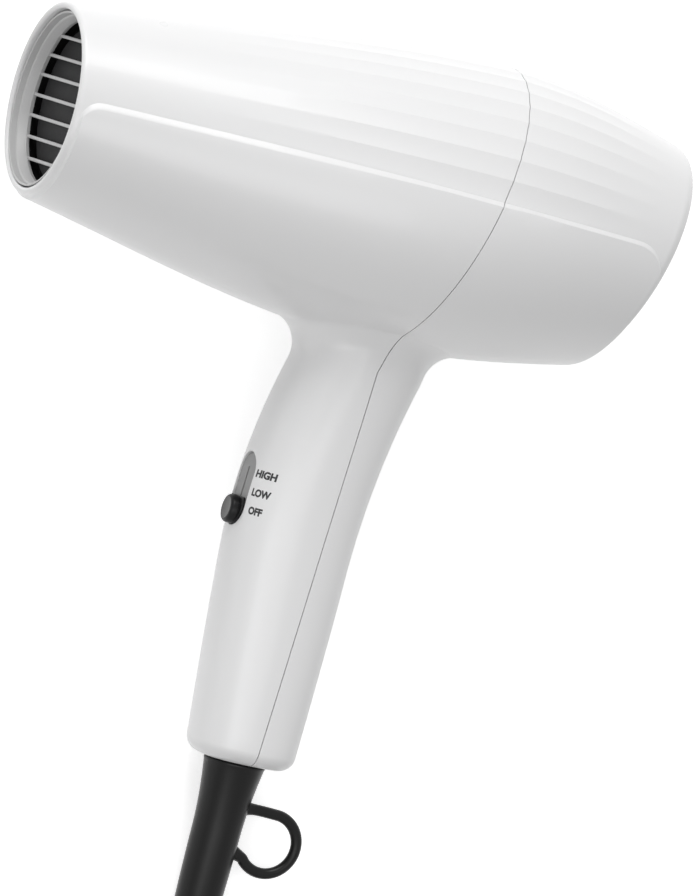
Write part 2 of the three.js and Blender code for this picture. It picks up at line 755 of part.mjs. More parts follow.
function motorParts() {
  const bore = shaftRadius + clearance;
  const motor = turned([
    [motorStart, 0], [motorStart, motorRadius - 1], [motorStart + 1, motorRadius],
    [motorEnd - 1, motorRadius], [motorEnd, motorRadius - 1], [motorEnd, motorBoss],
    [motorEnd + 1.5, motorBoss], [motorEnd + 1.5, bore],
    [motorEnd - 6, bore], [motorEnd - 6, 0],
  ], 24);
  const shaft = rod(motorEnd - 6 + clearance, fanEnd - 2, shaftRadius, 12);
  const board = rod(motorStart - 1.2 - clearance, motorStart - clearance, motorRadius - 1.5, 20);
  const diodes = [45, 135, 225, 315].map((turn) => (
    rod(-2.6, 2.6, 1.3, 8).rotateZ(PI / 2).translate(motorStart - 2.3 - clearance, 0, 7)
      .rotateX(turn * degrees)));
  return [
    meshOf('motor', motor, steel),
    meshOf('motor_shaft', shaft, steel),
    meshOf('rectifier_board', join(board, ...diodes), brass),
  ];
}

function motorMount() {
  const cupInner = motorRadius + clearance;
  const cupOuter = cupInner + cupWall;
  const cupStart = motorStart + 2;
  const cupEnd = motorEnd + clearance + cupWall;
  const ductOuter = ductRadius + ductWall;
  const throat = heaterRadius + clearance;
  const throatStart = heaterEnd - 6;
  const cup = turned([
    [cupStart, cupInner], [cupStart, cupOuter], [cupEnd, cupOuter], [cupEnd, motorBoss + clearance],
    [cupEnd - cupWall, motorBoss + clearance], [cupEnd - cupWall, cupInner],
  ], 24);
  const duct = turned([
    [throatStart, throat], [throatStart, throat + ductWall], [heaterEnd, throat + ductWall],
    [heaterEnd + 8, ductOuter], [fanEnd + 1, ductOuter], [fanEnd + 1, ductRadius],
    [heaterEnd + 8.6, ductRadius], [heaterEnd + 0.6, throat],
  ], 28);
  const flangeAt = heaterEnd + 10;
  const flange = common(ringOf(flangeAt, flangeAt + 2.4, ductRadius + 0.5, seamRadius + 12, 28), airFit());
  const vanes = [];
  const bedded = 0.8; // each vane runs this far into the cup and the duct
  for (let i = 0; i < statorVanes; i++) {
    const vane = block(
      vec(cupStart + 2, -vaneThickness / 2, cupOuter - bedded),
      vec(cupEnd - 2, vaneThickness / 2, ductRadius + bedded),
    );
    vanes.push(vane.rotateX((i / statorVanes) * 2 * PI));
  }
  return meshOf('motor_mount', join(cup, duct, flange, ...vanes), darkPlastic);
}

// A twisted blade: sections whose angle flattens towards the tip.
function fanBlade(turn) {
  const root = fanHubRadius - 1;
  const tip = ductRadius - fanTipGap;
  const chord = (fanLength - 3) / cos(fanAngle);
  const sections = [0, 0.33, 0.67, 1].map((share) => {
    const radius = root + (tip - root) * share;
    const twist = fanAngle + 22 * degrees * share;
    const length = chord * (1 - 0.12 * share);
    return [[-0.5, 0], [-0.15, 0.5], [0.5, 0.2], [0.5, -0.2], [-0.15, -0.5]].map(([along, thick]) => {
      const [c, t] = [along * length, thick * bladeThickness];
      const x = c * cos(twist) - t * sin(twist);
      const sweep = c * sin(twist) + t * cos(twist);
      const angle = sweep / radius;
      return vec(fanStart + fanLength / 2 + x, radius * sin(angle), radius * cos(angle));
    });
  });
  return loft(sections).rotateX(turn);
}

function fan() {
  const bore = shaftRadius + clearance;
  const hub = turned([
    [fanStart, bore], [fanStart, 5], [fanStart + 3, 5], [fanEnd - 4, 5], [fanEnd - 4, fanHubRadius - 1.8],
    [fanStart, fanHubRadius - 1.8], [fanStart, fanHubRadius], [fanEnd - 3, fanHubRadius],
    [fanEnd - 1, fanHubRadius - 2], [fanEnd, fanHubRadius - 6], [fanEnd, 4], [fanEnd - 1, bore],
  ], 28);
  const blades = Array.from({ length: fanBlades }, (_, i) => fanBlade((i / fanBlades) * 2 * PI));
  return meshOf('fan', join(hub, ...blades), darkPlastic);
}

// ---- intake, in the rear face's own frame ----
const domeRise = (radius) => intakeDome * (1 - (radius / intakeRadius) ** 2);
function intakeGrille() {
  const pitch = (intakeRadius - intakeLedge - 1) / (intakeRings + 0.5);
  const rings = [ringOf(-intakeThickness, 0, intakeRadius - intakeLedge - 1, intakeRadius, 32)];
  for (let i = 1; i <= intakeRings; i++) {
    const radius = i * pitch;
    const rise = domeRise(radius);
    rings.push(ringOf(rise - intakeThickness, rise, radius - intakeRib / 2, radius + intakeRib / 2, 18));
  }
  const cap = rod(domeRise(0) - intakeThickness, domeRise(0), pitch / 2, 12);
  const arch = [];
  const steps = 6;
  for (let i = 0; i <= steps; i++) {
    const radius = (intakeRadius - intakeLedge) * ((2 * i) / steps - 1);
    arch.push([domeRise(radius), radius]);
  }
  const outline = [...arch, ...arch.slice().reverse().map(([x, z]) => [x - intakeThickness, z])];
  const ribs = Array.from({ length: intakeArches }, (_, i) => (
    slab(outline, intakeRib / 2).rotateX((i / intakeArches) * PI)));
  return meshOf('intake_grille', join(...rings, cap, ...ribs), whiteShell);
}

function lintScreen() {
  const front = -intakeSeat - endWall - clearance - screenDepth;
  const outer = intakeRadius - intakeLedge - clearance;
  const inner = outer - screenRim;
  const parts = [ringOf(front, front + screenDepth + endWall, inner, outer, 24)];
  for (let i = 0; i < screenBars; i++) {
    const offset = (i - (screenBars - 1) / 2) * (2 * inner / (screenBars + 1));
    const reach = sqrt(inner ** 2 - offset ** 2) + 0.5;
    const upright = block(vec(front, offset - screenBar / 2, -reach),
      vec(front + screenThickness, offset + screenBar / 2, reach));
    parts.push(upright, upright.clone().rotateX(PI / 2));
  }
  return meshOf('lint_screen', join(...parts), greyPlastic);
}

// ---- cord's end of the handle ----
function strainRelief() {
  const top = clearance; // below the handle's underside
  const flare = [0.25, 0.5, 0.75, 1].map((share) => (
    [reliefWaist * share, reliefWaistRadius + (reliefRadius - reliefWaistRadius) * (1 - share) ** 1.8]));
  const outline = [
    [-wall - clearance - reliefFlange, 0], [-wall - clearance - reliefFlange, reliefNeck + 2],
    [-wall - clearance, reliefNeck + 2], [-wall - clearance, reliefNeck], [top, reliefNeck],
    [top, reliefRadius - 0.4], [top + 0.4, reliefRadius], ...flare, [reliefMid, reliefMidRadius],
    [reliefLength - 1, reliefEndRadius], [reliefLength, reliefEndRadius - 0.8], [reliefLength, 0],
  ];
  const sleeve = turned(outline, 20).rotateY(PI / 2);
  const points = [];
  const arcStart = 90 * degrees;
  const arcEnd = -150 * degrees;
  points.push(vec(reliefWaistRadius - 2, 0, -loopDown + loopRadius));
  for (let i = 0; i <= 12; i++) {
    const angle = arcStart + (arcEnd - arcStart) * (i / 12);
    points.push(vec(loopOut + loopRadius * cos(angle), 0, -loopDown + loopRadius * sin(angle)));
  }
  points.push(vec(reliefWaistRadius - 2, 0, -loopDown - loopRadius / 2 + 0.3));
  const loop = tubeAlong(points, loopWire, 8, 22);
  const hanging = join(sleeve, loop).warp((p) => {
    p[0] += reliefLean * Math.min(p[2], 0);
  });
  const relief = meshOf('strain_relief', hanging, blackRubber);
  relief.position.set(reliefCentre, 0, handleBottom);
  return relief;
}

function cordClamp() {
  const low = handleBottom + wall + clearance + reliefFlange + 4;
  const hole = rod(-20, 20, 5, 16).rotateY(PI / 2).translate(reliefCentre, 0, low);
  const bar = block(vec(reliefCentre - 11, -30, low), vec(reliefCentre + 11, 30, low + clampHeight));
  return meshOf('cord_clamp', cut(common(bar, handleHollow(wall + clearance)), hole), darkPlastic);
}

// Inner leads. Their routes are chosen by hand to clear the bosses, the switch and the clamp.
function leadWires() {
  const start = handleBottom + wall + clearance + reliefFlange + clearance;
  const switchLow = switchPlace.z - switchHalf.z;
  const heaterUnder = -tan(airTilt) * reliefCentre - heaterRadius - clearance;
  const [turn, slope, end] = leadTurns.map((drop) => heaterUnder - drop);
  const line = tubeAlong([
    vec(reliefCentre, -2.4, start), vec(reliefCentre, -2.6, start + 12),
    vec(reliefCentre - 3, -5.2, start + 24), vec(reliefCentre - 4, -5.2, start + 42),
    vec(reliefCentre - 6, -3, switchLow - 9),
    vec(reliefCentre - 6.4, -2, switchLow - 1),
  ], wireRadius, 6, 14);
  const neutral = tubeAlong([
    vec(reliefCentre, 2.4, start), vec(reliefCentre, 2.6, start + 12), vec(reliefCentre + 3, 6.2, start + 28),
    vec(reliefCentre + 4, 6.4, start + 60), vec(reliefCentre + 5, 6.4, start + 96),
    vec(reliefCentre, 5, turn), vec(reliefCentre - 14, 4, slope), vec(reliefCentre - 17, 3, end),
  ], wireRadius, 6, 22);
  const heater = tubeAlong([
    vec(reliefCentre - 8, -2, switchLow + 2 * switchHalf.z + clearance),
    vec(reliefCentre - 3, -5.4, switchLow + 2 * switchHalf.z + 8),
    vec(reliefCentre, -6.4, upperScrewHeight + 4),
    vec(reliefCentre - 2, -5, turn), vec(reliefCentre - 13, -4, slope), vec(reliefCentre - 16, -3, end),
  ], wireRadius, 6, 16);
  return [
    meshOf('lead_line', line, redWire),
    meshOf('lead_neutral', neutral, whiteWire),
    meshOf('lead_heater', heater, redWire),
  ];
}

// ---- laying the dryer down ----
// Three points of the hull's face that a ray from the origin along a direction leaves through. Each pass
// swaps in the point that stands furthest out of the face, and keeps the ray inside the triangle.
function faceAlong(points, direction) {
  const side = vec(1, 0, 0).cross(direction).normalize();
  const up = direction.clone().cross(side);
  const flat = points.map((p) => ({ u: p.dot(side), v: p.dot(up), w: p.dot(direction), p }));
  let corners = [90, 210, 330].map((turn) => (
    { u: 1e4 * cos(turn * degrees), v: 1e4 * sin(turn * degrees), w: -1e4 }));
  const area = (a, b) => a.u * b.v - a.v * b.u;
  const holdsRay = ([a, b, c]) => {
    const parts = [area(a, b), area(b, c), area(c, a)];
    return parts.every((part) => part >= -1e-9) || parts.every((part) => part <= 1e-9);
  };
  for (let pass = 0; pass < 200; pass++) {
    const [a, b, c] = corners;
    const det = (b.u - a.u) * (c.v - a.v) - (c.u - a.u) * (b.v - a.v);
    const slopeU = ((b.w - a.w) * (c.v - a.v) - (c.w - a.w) * (b.v - a.v)) / det;
    const slopeV = ((b.u - a.u) * (c.w - a.w) - (c.u - a.u) * (b.w - a.w)) / det;
    const over = (q) => q.w - a.w - slopeU * (q.u - a.u) - slopeV * (q.v - a.v);
    const furthest = flat.reduce((best, q) => (over(q) > over(best) ? q : best));
    if (over(furthest) < 1e-7) {
      return direction.clone().addScaledVector(side, -slopeU).addScaledVector(up, -slopeV).normalize();
    }
    corners = [[furthest, b, c], [a, furthest, c], [a, b, furthest]].find(holdsRay);
  }
  return direction;
}

function balancePoint(meshes) {
  const middle = vec(0, 0, 0);
  let mass = 0;
  for (const mesh of meshes) {
    mesh.updateWorldMatrix(true, false);
    const index = mesh.geometry.index.array;
    const corner = (k) => vec(0, 0, 0).fromBufferAttribute(mesh.geometry.attributes.position, index[k])
      .applyMatrix4(mesh.matrixWorld);
    for (let i = 0; i < index.length; i += 3) {
      const [a, b, c] = [corner(i), corner(i + 1), corner(i + 2)];
      const share = (mesh.material.userData.density * a.dot(b.clone().cross(c))) / 6;
      mass += share;
      middle.addScaledVector(a.add(b).add(c), share / 4);
    }
  }
  return middle.divideScalar(mass);
}

// The direction that points down when the dryer has settled on its +Y side.
function settledDown(meshes) {
  const balance = balancePoint(meshes);
  const points = [];
  for (const mesh of meshes) {
    const position = mesh.geometry.attributes.position;
    for (let i = 0; i < position.count; i++) {
      points.push(vec(0, 0, 0).fromBufferAttribute(position, i).applyMatrix4(mesh.matrixWorld).sub(balance));
    }
  }
  let down = vec(0, 1, 0);
  for (let pass = 0; pass < 40; pass++) {
    const next = faceAlong(points, down);
    if (next.distanceTo(down) < 1e-9) break;
    down = next;
  }
  return down;
}

function layDown(dryer) {
  const meshes = [];
  dryer.traverse((child) => {
    if (child.isMesh) meshes.push(child);
  });
  const up = settledDown(meshes).negate();
  const along = vec(1, 0, 0).addScaledVector(up, -up.x).normalize();
  const across = up.clone().cross(along);
  dryer.quaternion.setFromRotationMatrix(new THREE.Matrix4().makeBasis(along, across, up).transpose());
  const box = new THREE.Box3().setFromObject(dryer, true);
  const middle = box.getCenter(vec(0, 0, 0));
  dryer.position.set(-middle.x, -middle.y, -box.min.z);
  dryer.updateMatrixWorld(true);
}

// ---- cord, drawn on the surface that the dryer lies on ----
const cordRadius = cordDiameter / 2;
const coilLift = tieThickness + clearance; // the coil lies on its tie
const coilOuter = coilInner + coilPitch * coilTurns;

// The coil's middle line about its own centre: in along the first layer, up in a half turn, and out again.
function coilRoute() {
  const points = [];
  const total = 2 * coilTurns + 0.5;
  const low = cordRadius + coilLift;
  for (let i = 0; i <= total * coilSteps; i++) {
    const turn = i / coilSteps;
    const climb = THREE.MathUtils.clamp((turn - coilTurns) / 0.5, 0, 1);
    const spiral = Math.max(coilTurns - turn, turn - coilTurns - 0.5, 0);
    const radius = coilInner + coilPitch * spiral - coilDip * sin(PI * climb);
    const angle = PI + turn * 2 * PI;
    const height = low + coilPitch * smooth(0, 1, climb);
    points.push(vec(radius * cos(angle), radius * sin(angle), height));
  }
  return points;
}

// A tube along a route that stays nearly level.
function levelTube(route, radius, sides) {
  const rings = route.map((point, i) => {
    const ahead = route[Math.min(i + 1, route.length - 1)];
    const behind = route[Math.max(i - 1, 0)];
    const along = ahead.clone().sub(behind).normalize();
    const side = along.clone().cross(vec(0, 0, 1)).normalize();
    const up = side.clone().cross(along);
    return Array.from({ length: sides }, (_, k) => {
      const angle = (k / sides) * 2 * PI;
      return point.clone().addScaledVector(side, radius * cos(angle))
        .addScaledVector(up, radius * sin(angle));
    });
  });
  return loft(rings);
}

// Least distance between stretches of the route that lie a third of a turn or more apart, less a diameter.
function leastGap(route) {
  let least = Infinity;
  for (let i = 0; i < route.length; i++) {
    for (let j = i + coilSteps / 3; j < route.length; j++) {
      least = Math.min(least, route[i].distanceTo(route[j]) - cordDiameter);
    }
  }
  return least;
}

function lengthOf(route) {
  return route.slice(1).reduce((sum, point, i) => sum + point.distanceTo(route[i]), 0);
}

function cordSet(dryer) {
  const hang = reliefLength + clearance;
  const exit = dryer.localToWorld(vec(reliefCentre - reliefLean * hang, 0, handleBottom - hang));
  const away = exit.clone().sub(dryer.localToWorld(vec(reliefCentre, 0, handleBottom))).normalize();
  const onFloor = (x, y) => vec(exit.x + x, exit.y + y, cordRadius + 0.1);
  const coilMiddle = vec(exit.x + coilOuter + 4, exit.y - 62, 0);
  const joinAt = coilMiddle.clone().add(vec(-coilOuter, cordDiameter, cordRadius + coilLift));
  const lead = [
    exit,
    exit.clone().addScaledVector(away, cordDiameter),
    onFloor(1.2, -22).setZ(cordRadius + 0.8),
    onFloor(2.6, -32),
    onFloor(3.8, -42).setZ(cordRadius + 0.3),
    joinAt.clone().add(vec(0, clearance + cordDiameter, 0)),
    joinAt.clone().add(vec(0, clearance, 0)),
  ];
  const turns = coilRoute().map((point) => point.add(coilMiddle));
  const outEnd = turns.at(-1);
  const plugAxis = plugHeight / 2;
  const tail = [0.15, 0.35, 0.6, 0.8, 1].map((share) => {
    const rise = (plugAxis - outEnd.z) * smooth(0.05, 0.85, share);
    return vec(outEnd.x, outEnd.y - tailLength * share, outEnd.z + rise);
  });
  const coilPath = [joinAt, ...turns, ...tail];
  console.log(`coil: ${(coilTurns * 2 + 0.5).toFixed(2)} turns, least gap ${leastGap(turns).toFixed(3)} mm`);
  console.log(`cord length: ${(lengthOf(coilPath) + lengthOf(lead)).toFixed(0)} mm`);
  const leadMesh = meshOf('cord_lead', tubeAlong(lead, cordRadius, 8, 12), blackRubber);
  const coilMesh = meshOf('cord_coil', levelTube(coilPath, cordRadius, 6), blackRubber);
  const plugPlace = tail.at(-1).clone().add(vec(0, -clearance, 0));
  return [leadMesh, coilMesh, cordTie(coilMiddle), plug(plugPlace)];
}

// A strap round the coil's turns.
function cordTie(coilMiddle) {
  const [near, far] = [coilInner - coilDip - cordRadius - 0.7, coilOuter + cordRadius + clearance];
  const top = coilLift + 2 * cordRadius + coilPitch + clearance;
  const [start, end] = [near - tieThickness, far + tieThickness];
  const outer = [[start, 0], [end, 0], [end, top + tieThickness], [start, top + tieThickness]];
  const inner = [[near, tieThickness], [far, tieThickness], [far, top], [near, top]];
  const strap = meshOf('cord_tie', cut(slab(outer, tieWidth / 2), slab(inner, tieWidth)), blackPlastic);
  strap.rotation.z = tieAngle;
  strap.position.copy(coilMiddle);
  return strap;
}

// ---- plug: x runs on from the cord, z is up, and the blades point towards +Y ----
function plug(place) {
  const group = new THREE.Group();
  group.position.copy(place);
  group.rotation.z = -PI / 2;
  const low = -place.z;
  const bodyStart = plugReliefLength + clearance;
  const outline = new THREE.Shape();
  const [x0, x1] = [bodyStart, bodyStart + plugLength];
  const [z0, z1] = [low, low + plugHeight];
  const c = plugCorner; // the corners beside the cord are cut back twice as far
  outline.moveTo(x0 + 2 * c, z0);
  outline.lineTo(x1 - c, z0);
  outline.quadraticCurveTo(x1, z0, x1, z0 + c);
  outline.lineTo(x1, z1 - c);
  outline.quadraticCurveTo(x1, z1, x1 - c, z1);
  outline.lineTo(x0 + 2 * c, z1);
  outline.quadraticCurveTo(x0, z1, x0, z1 - 2 * c);
  outline.lineTo(x0, z0 + 2 * c);
  outline.quadraticCurveTo(x0, z0, x0 + 2 * c, z0);
  const rounded = (from, to) => {
    const options = { depth: to - from, bevelEnabled: false, curveSegments: 5 };
    return new THREE.ExtrudeGeometry(outline, options).rotateX(PI / 2).translate(0, to, 0);
  };
  const front = -plugDepth / 2;
  const back = plugDepth / 2;
  const joint = front + plugCoverDepth;
  const bladeAt = bodyStart + plugLength * bladeShare;
  const bladeBlock = (side, grow) => {
    const height = (side * bladeSpacing) / 2;
    return block(
      vec(bladeAt - bladeWidth / 2 - grow, back - bladeRoot - grow, height - bladeGauge / 2 - grow),
      vec(bladeAt + bladeWidth / 2 + grow, back + bladeLength, height + bladeGauge / 2 + grow),
    );
  };
  const buttonAt = (side) => bodyStart + plugLength / 2 + (side * buttonPitch) / 2;
  const buttonBlock = (side, grow, from, to) => block(
    vec(buttonAt(side) - buttonLength / 2 - grow, from, -buttonHeight / 2 - grow),
    vec(buttonAt(side) + buttonLength / 2 + grow, to, buttonHeight / 2 + grow),
  );
  const pocketEnd = front + buttonBody + buttonTravel + clearance;
  const pocket = (side) => buttonBlock(side, clearance, front - 1, pocketEnd);
  const housing = cut(rounded(joint + clearance, back), bladeBlock(-1, clearance), bladeBlock(1, clearance));
  const cover = cut(rounded(front, joint), pocket(-1), pocket(1));
  const sleeve = turned([
    [0, 0], [0, cordRadius + 0.6], [plugReliefLength * 0.6, (cordRadius + plugReliefRadius) / 2 + 0.4],
    [plugReliefLength, plugReliefRadius], [plugReliefLength, 0],
  ], 20);
  const button = (side) => buttonBlock(side, 0, front - buttonProud, front + buttonBody);
  group.add(
    meshOf('plug_housing', housing, blackPlastic),
    meshOf('plug_cover', cover, blackPlastic),
    meshOf('plug_relief', sleeve, blackRubber),
    meshOf('plug_blade_line', bladeBlock(-1, 0), brass),
    meshOf('plug_blade_neutral', bladeBlock(1, 0), brass),
    meshOf('test_button', button(-1), greyPlastic),
    meshOf('reset_button', button(1), redWire),
  );
  return group;
}

// ---- assembly ----
const dryer = new THREE.Group();
dryer.add(...housings(), ...switchParts());
dryer.add(screw('housing_screw_upper', upperScrewHeight), screw('housing_screw_lower', lowerScrewHeight));

const airUnit = new THREE.Group();
airUnit.rotation.y = airTilt;
airUnit.add(outletGrille(), heaterTube(), heaterCoil(), ...heaterSafety());
const lapMiddle = (boardStart + boardEnd) / 2;
airUnit.add(
  micaBoard('mica_board_upright', boardStart - 1, lapMiddle + clearance / 2, 0),
  micaBoard('mica_board_level', lapMiddle - clearance / 2, boardEnd + 1, PI / 2),
);
airUnit.add(motorMount(), ...motorParts(), fan());
dryer.add(airUnit);

const intake = new THREE.Group();
intake.rotation.y = seamLean;
intake.position.copy(faceMiddle);
intake.add(intakeGrille(), lintScreen());
dryer.add(intake);
dryer.add(strainRelief(), cordClamp(), ...leadWires());
layDown(dryer);

const hairDryer = new THREE.Group();
hairDryer.add(dryer, ...cordSet(dryer));

export default hairDryer;
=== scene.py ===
"""Looks of the hand-held hair dryer: housings, outlet, switch, cord and plug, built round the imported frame.

Sizes are in millimetres in the dryer's own upright frame (x along the barrel from the nozzle, z up the
handle, y across the body) and in metres in the row frame, where the dryer lies on its side.
"""

import math

import bmesh
import bpy
import numpy as np
from bpy.props import BoolProperty, FloatProperty, FloatVectorProperty, IntProperty, PointerProperty
from mathutils import Matrix, Vector


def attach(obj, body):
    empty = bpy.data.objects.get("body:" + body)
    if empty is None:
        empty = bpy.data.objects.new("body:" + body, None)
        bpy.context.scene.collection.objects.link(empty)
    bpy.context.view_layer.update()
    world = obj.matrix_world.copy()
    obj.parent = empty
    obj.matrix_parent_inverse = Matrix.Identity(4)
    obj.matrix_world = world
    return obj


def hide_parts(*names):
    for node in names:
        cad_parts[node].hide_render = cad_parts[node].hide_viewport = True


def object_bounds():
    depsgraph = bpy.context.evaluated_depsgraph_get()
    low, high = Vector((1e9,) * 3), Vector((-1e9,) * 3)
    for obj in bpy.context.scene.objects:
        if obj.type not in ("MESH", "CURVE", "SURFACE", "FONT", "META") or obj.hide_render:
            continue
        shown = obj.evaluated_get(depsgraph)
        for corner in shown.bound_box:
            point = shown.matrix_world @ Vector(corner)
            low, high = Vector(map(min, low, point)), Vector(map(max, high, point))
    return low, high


bl_info = {
    "name": "Hand-held Hair Dryer",
    "version": (1, 0, 0),
    "blender": (4, 5, 0),
    "location": "3D View > Sidebar > Hair Dryer",
    "description": "Builds the finished pieces of a hair dryer on its packed frame",
    "category": "Add Mesh",
}

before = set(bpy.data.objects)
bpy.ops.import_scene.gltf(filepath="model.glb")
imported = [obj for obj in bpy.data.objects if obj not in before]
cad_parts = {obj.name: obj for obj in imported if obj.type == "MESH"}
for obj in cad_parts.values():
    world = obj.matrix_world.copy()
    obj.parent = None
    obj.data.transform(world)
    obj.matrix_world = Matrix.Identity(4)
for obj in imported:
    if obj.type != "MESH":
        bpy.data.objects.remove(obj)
CAD_LOW, CAD_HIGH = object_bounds()

# ---- where the dryer's own frame lies in the row frame ----
LAY = np.array([
    [0.9972155726, 0.0735007793, -0.0125990928],
    [0.0, 0.1689502573, 0.9856245789],
    [0.0745727946, -0.9828801789, 0.1684798276],
])
LAY_ORIGIN = np.array([-0.09837537, 0.09478645, 0.03634778])

# ---- sizes shared with the part's source ----
SEAM_DISTANCE, SEAM_RADIUS, SEAM_DROP, SEAM_LEAN = 129.0, 43.8, 3.9, math.radians(14.4)
NOZZLE_RADIUS, SWELL_START = 28.6, 1.18
RIM_DISTANCE, RIM_RADIUS, RIM_DROP, SHOULDER_RADIUS = 186.9, 35.2, 6.4, 4.8
WALL, CLEARANCE, PARTING_GAP, END_WALL = 2.2, 0.3, 0.3, 2.6
HANDLE_BOTTOM, HANDLE_CENTRE, HANDLE_LEAN = -177.0, 107.9, 0.017
HANDLE_RISE, HANDLE_SWEEP, HANDLE_NECK, HANDLE_CORNER = 60.0, 0.0025, -56.0, 4.5
GRIP_LOWER, GRIP_GAIN, GRIP_SPAN, GRIP_SQUARENESS = 15.5, 3.9, 97.0, 2.5
GRIP_THICKNESS, GRIP_THICKEN, GRIP_THICKEN_SPAN = 15.4, 1.6, 105.0
SEAM_HEIGHT_LOW, HANDLE_SEAM_STEP, HANDLE_SEAM_SLOPE = -44.0, 3.7, 0.063
SLOT_WIDTH, SLOT_LENGTH, SLOT_TOP = 12.0, 22.5, -87.0
RELIEF_CENTRE, RELIEF_LEAN, RELIEF_LENGTH, RELIEF_NECK = 107.0, 0.025, 55.0, 7.6
INTAKE_RADIUS, INTAKE_LEDGE, INTAKE_SEAT = 26.0, 2.0, 2.1
SCREW_HEIGHTS, BOSS_RADIUS, SCREW_GRIP, SCREW_HEAD = (-67.0, -140.0), 3.4, 2.6, 2.6
CORD_DIAMETER, COIL_PITCH, COIL_INNER, COIL_TURNS = 6.8, 7.3, 28.6, 3.25
COIL_DIP, COIL_LIFT, TAIL_LENGTH, PLUG_HEIGHT = 1.3, 0.9, 46.0, 34.0
SLIT_WIDTH, STEM_WIDTH, STEM_LENGTH, TONGUE_DEPTH, KNOB_TOP = 0.9, 0.7, 2.4, 2.75, 2.9
PLATE_DEPTHS = (1.0, 2.3)  # the switch insert's front and back, in from the grip's skin
DEGREES = math.pi / 180

# ---- light ----
AMBIENT, FLOOR_GLOW, FLOOR_COLOUR = 0.345, 0.62, (0.85, 0.85, 0.85, 1)
LENS, SENSOR = 437.95, 36
STRIP_LENGTH, STRIP_OVER = 0.5, (100, 0, -230)  # the soft strip's long side, and the place on the grip it is over


def to_row(points):
    """Points of the dryer's own frame, in millimetres, as points of the row frame, in metres."""
    return LAY_ORIGIN + (np.asarray(points, float) @ LAY.T) / 1000


def row_matrix():
    """The same change of frame as a matrix, for pieces drawn in millimetres."""
    turned = Matrix(LAY.tolist()).to_4x4()
    return Matrix.Translation(Vector(LAY_ORIGIN)) @ turned @ Matrix.Scale(0.001, 4)


def smoothstep(low, high, x):
    t = np.clip((np.asarray(x, float) - low) / (high - low), 0, 1)
    return t * t * (3 - 2 * t)


# ---- settings that a user would change ----
class DryerHousingSettings(bpy.types.PropertyGroup):
    """Sizes of the white housings."""

    flutes_per_side: FloatProperty(name="Flutes per side", description="Scallops from the top line to the crease",
                                   default=9.5, min=1, max=20)
    flute_depth: FloatProperty(name="Flute depth", description="Depth of each scallop", default=0.25, min=0, max=1)
    crease_step: FloatProperty(name="Panel step", description="How proud the lower panel stands", default=0.8,
                               min=0, max=2)
    crease_band: FloatProperty(name="Crease band", description="Height of the bevel above the panel", default=2.3,
                               min=0.5, max=6)
    neck_fillet: FloatProperty(name="Neck fillet", description="Radius where the grip meets the barrel",
                               default=10.5, min=4, max=30)
    lip_round: FloatProperty(name="Lip round", description="Rounding of the nozzle's lip", default=1.05, min=0.2,
                             max=1.1)


class DryerOutletSettings(bpy.types.PropertyGroup):
    """Sizes of the grey outlet grille."""

    bars: IntProperty(name="Bars", description="Number of level bars", default=7, min=1, max=15)
    bar_pitch: FloatProperty(name="Bar pitch", description="Height from bar to bar", default=6.14, min=2, max=12)
    bar_height: FloatProperty(name="Bar height", description="Thickness of each bar", default=1.0, min=0.4, max=3)
    depth: FloatProperty(name="Depth", description="From the nozzle's rim to the bars", default=6.04, min=2, max=12)
    opening: FloatProperty(name="Opening", description="Radius of the clear opening", default=24.4, min=10, max=26)


class DryerSwitchSettings(bpy.types.PropertyGroup):
    """Sizes of the slide switch and its words."""

    knob_radius: FloatProperty(name="Knob radius", description="Radius of the knob's cap", default=4.25, min=2,
                               max=5.5)
    knob_reach: FloatProperty(name="Knob reach", description="How far the cap stands out", default=2.4, min=1, max=5)
    letter_height: FloatProperty(name="Letter height", description="Height of the words beside the switch",
                                 default=2.35, min=1, max=5)
    show_words: BoolProperty(name="Words", description="Print HIGH, LOW and OFF beside the switch", default=True)


class DryerCordSettings(bpy.types.PropertyGroup):
    """Sizes of the cord and its strain relief."""

    length: FloatProperty(name="Length", description="Real length of the cord", default=1.844, min=0.5, max=4,
                          unit="LENGTH")
    loop_radius: FloatProperty(name="Loop radius", description="Hanging loop to the middle of its wire",
                               default=8.9, min=5, max=15)
    loop_wire: FloatProperty(name="Loop wire", description="Half thickness of the hanging loop", default=1.65,
                             min=0.8, max=3)


class DryerFinishSettings(bpy.types.PropertyGroup):
    """Colours of the finishes."""

    shell: FloatVectorProperty(name="Shell", description="White moulded plastic", subtype="COLOR", size=4,
                               default=(0.845, 0.845, 0.848, 1), min=0, max=1)
    grey: FloatVectorProperty(name="Grey plastic", description="Outlet and switch insert", subtype="COLOR", size=4,
                              default=(0.3, 0.3, 0.3, 1), min=0, max=1)
    black: FloatVectorProperty(name="Black plastic", description="Knob, plug and tie", subtype="COLOR", size=4,
                               default=(0.007, 0.007, 0.0075, 1), min=0, max=1)
    rubber: FloatVectorProperty(name="Rubber", description="Cord and strain relief", subtype="COLOR", size=4,
                                default=(0.0045, 0.0045, 0.0046, 1), min=0, max=1)
    ink: FloatVectorProperty(name="Ink", description="Words beside the switch", subtype="COLOR", size=4,
                             default=(0.03, 0.03, 0.032, 1), min=0, max=1)


SETTINGS = (DryerHousingSettings, DryerOutletSettings, DryerSwitchSettings, DryerCordSettings, DryerFinishSettings)


# ---- modelling helpers ----
def deselect():
    for o in bpy.context.selected_objects:
        o.select_set(False)
    bpy.context.view_layer.objects.active = None


def only(obj):
    """Selects one object alone and makes it the active one."""
    deselect()
    obj.select_set(True)
    bpy.context.view_layer.objects.active = obj


def mesh_piece(name, points, faces):
    """A new object at the origin whose mesh has these points, already in the frame that they are given in."""
    mesh = bpy.data.meshes.new(name)
    mesh.from_pydata([tuple(p) for p in points], [], faces)
    mesh.validate()
    obj = bpy.data.objects.new(name, mesh)
    bpy.context.scene.collection.objects.link(obj)
    return obj


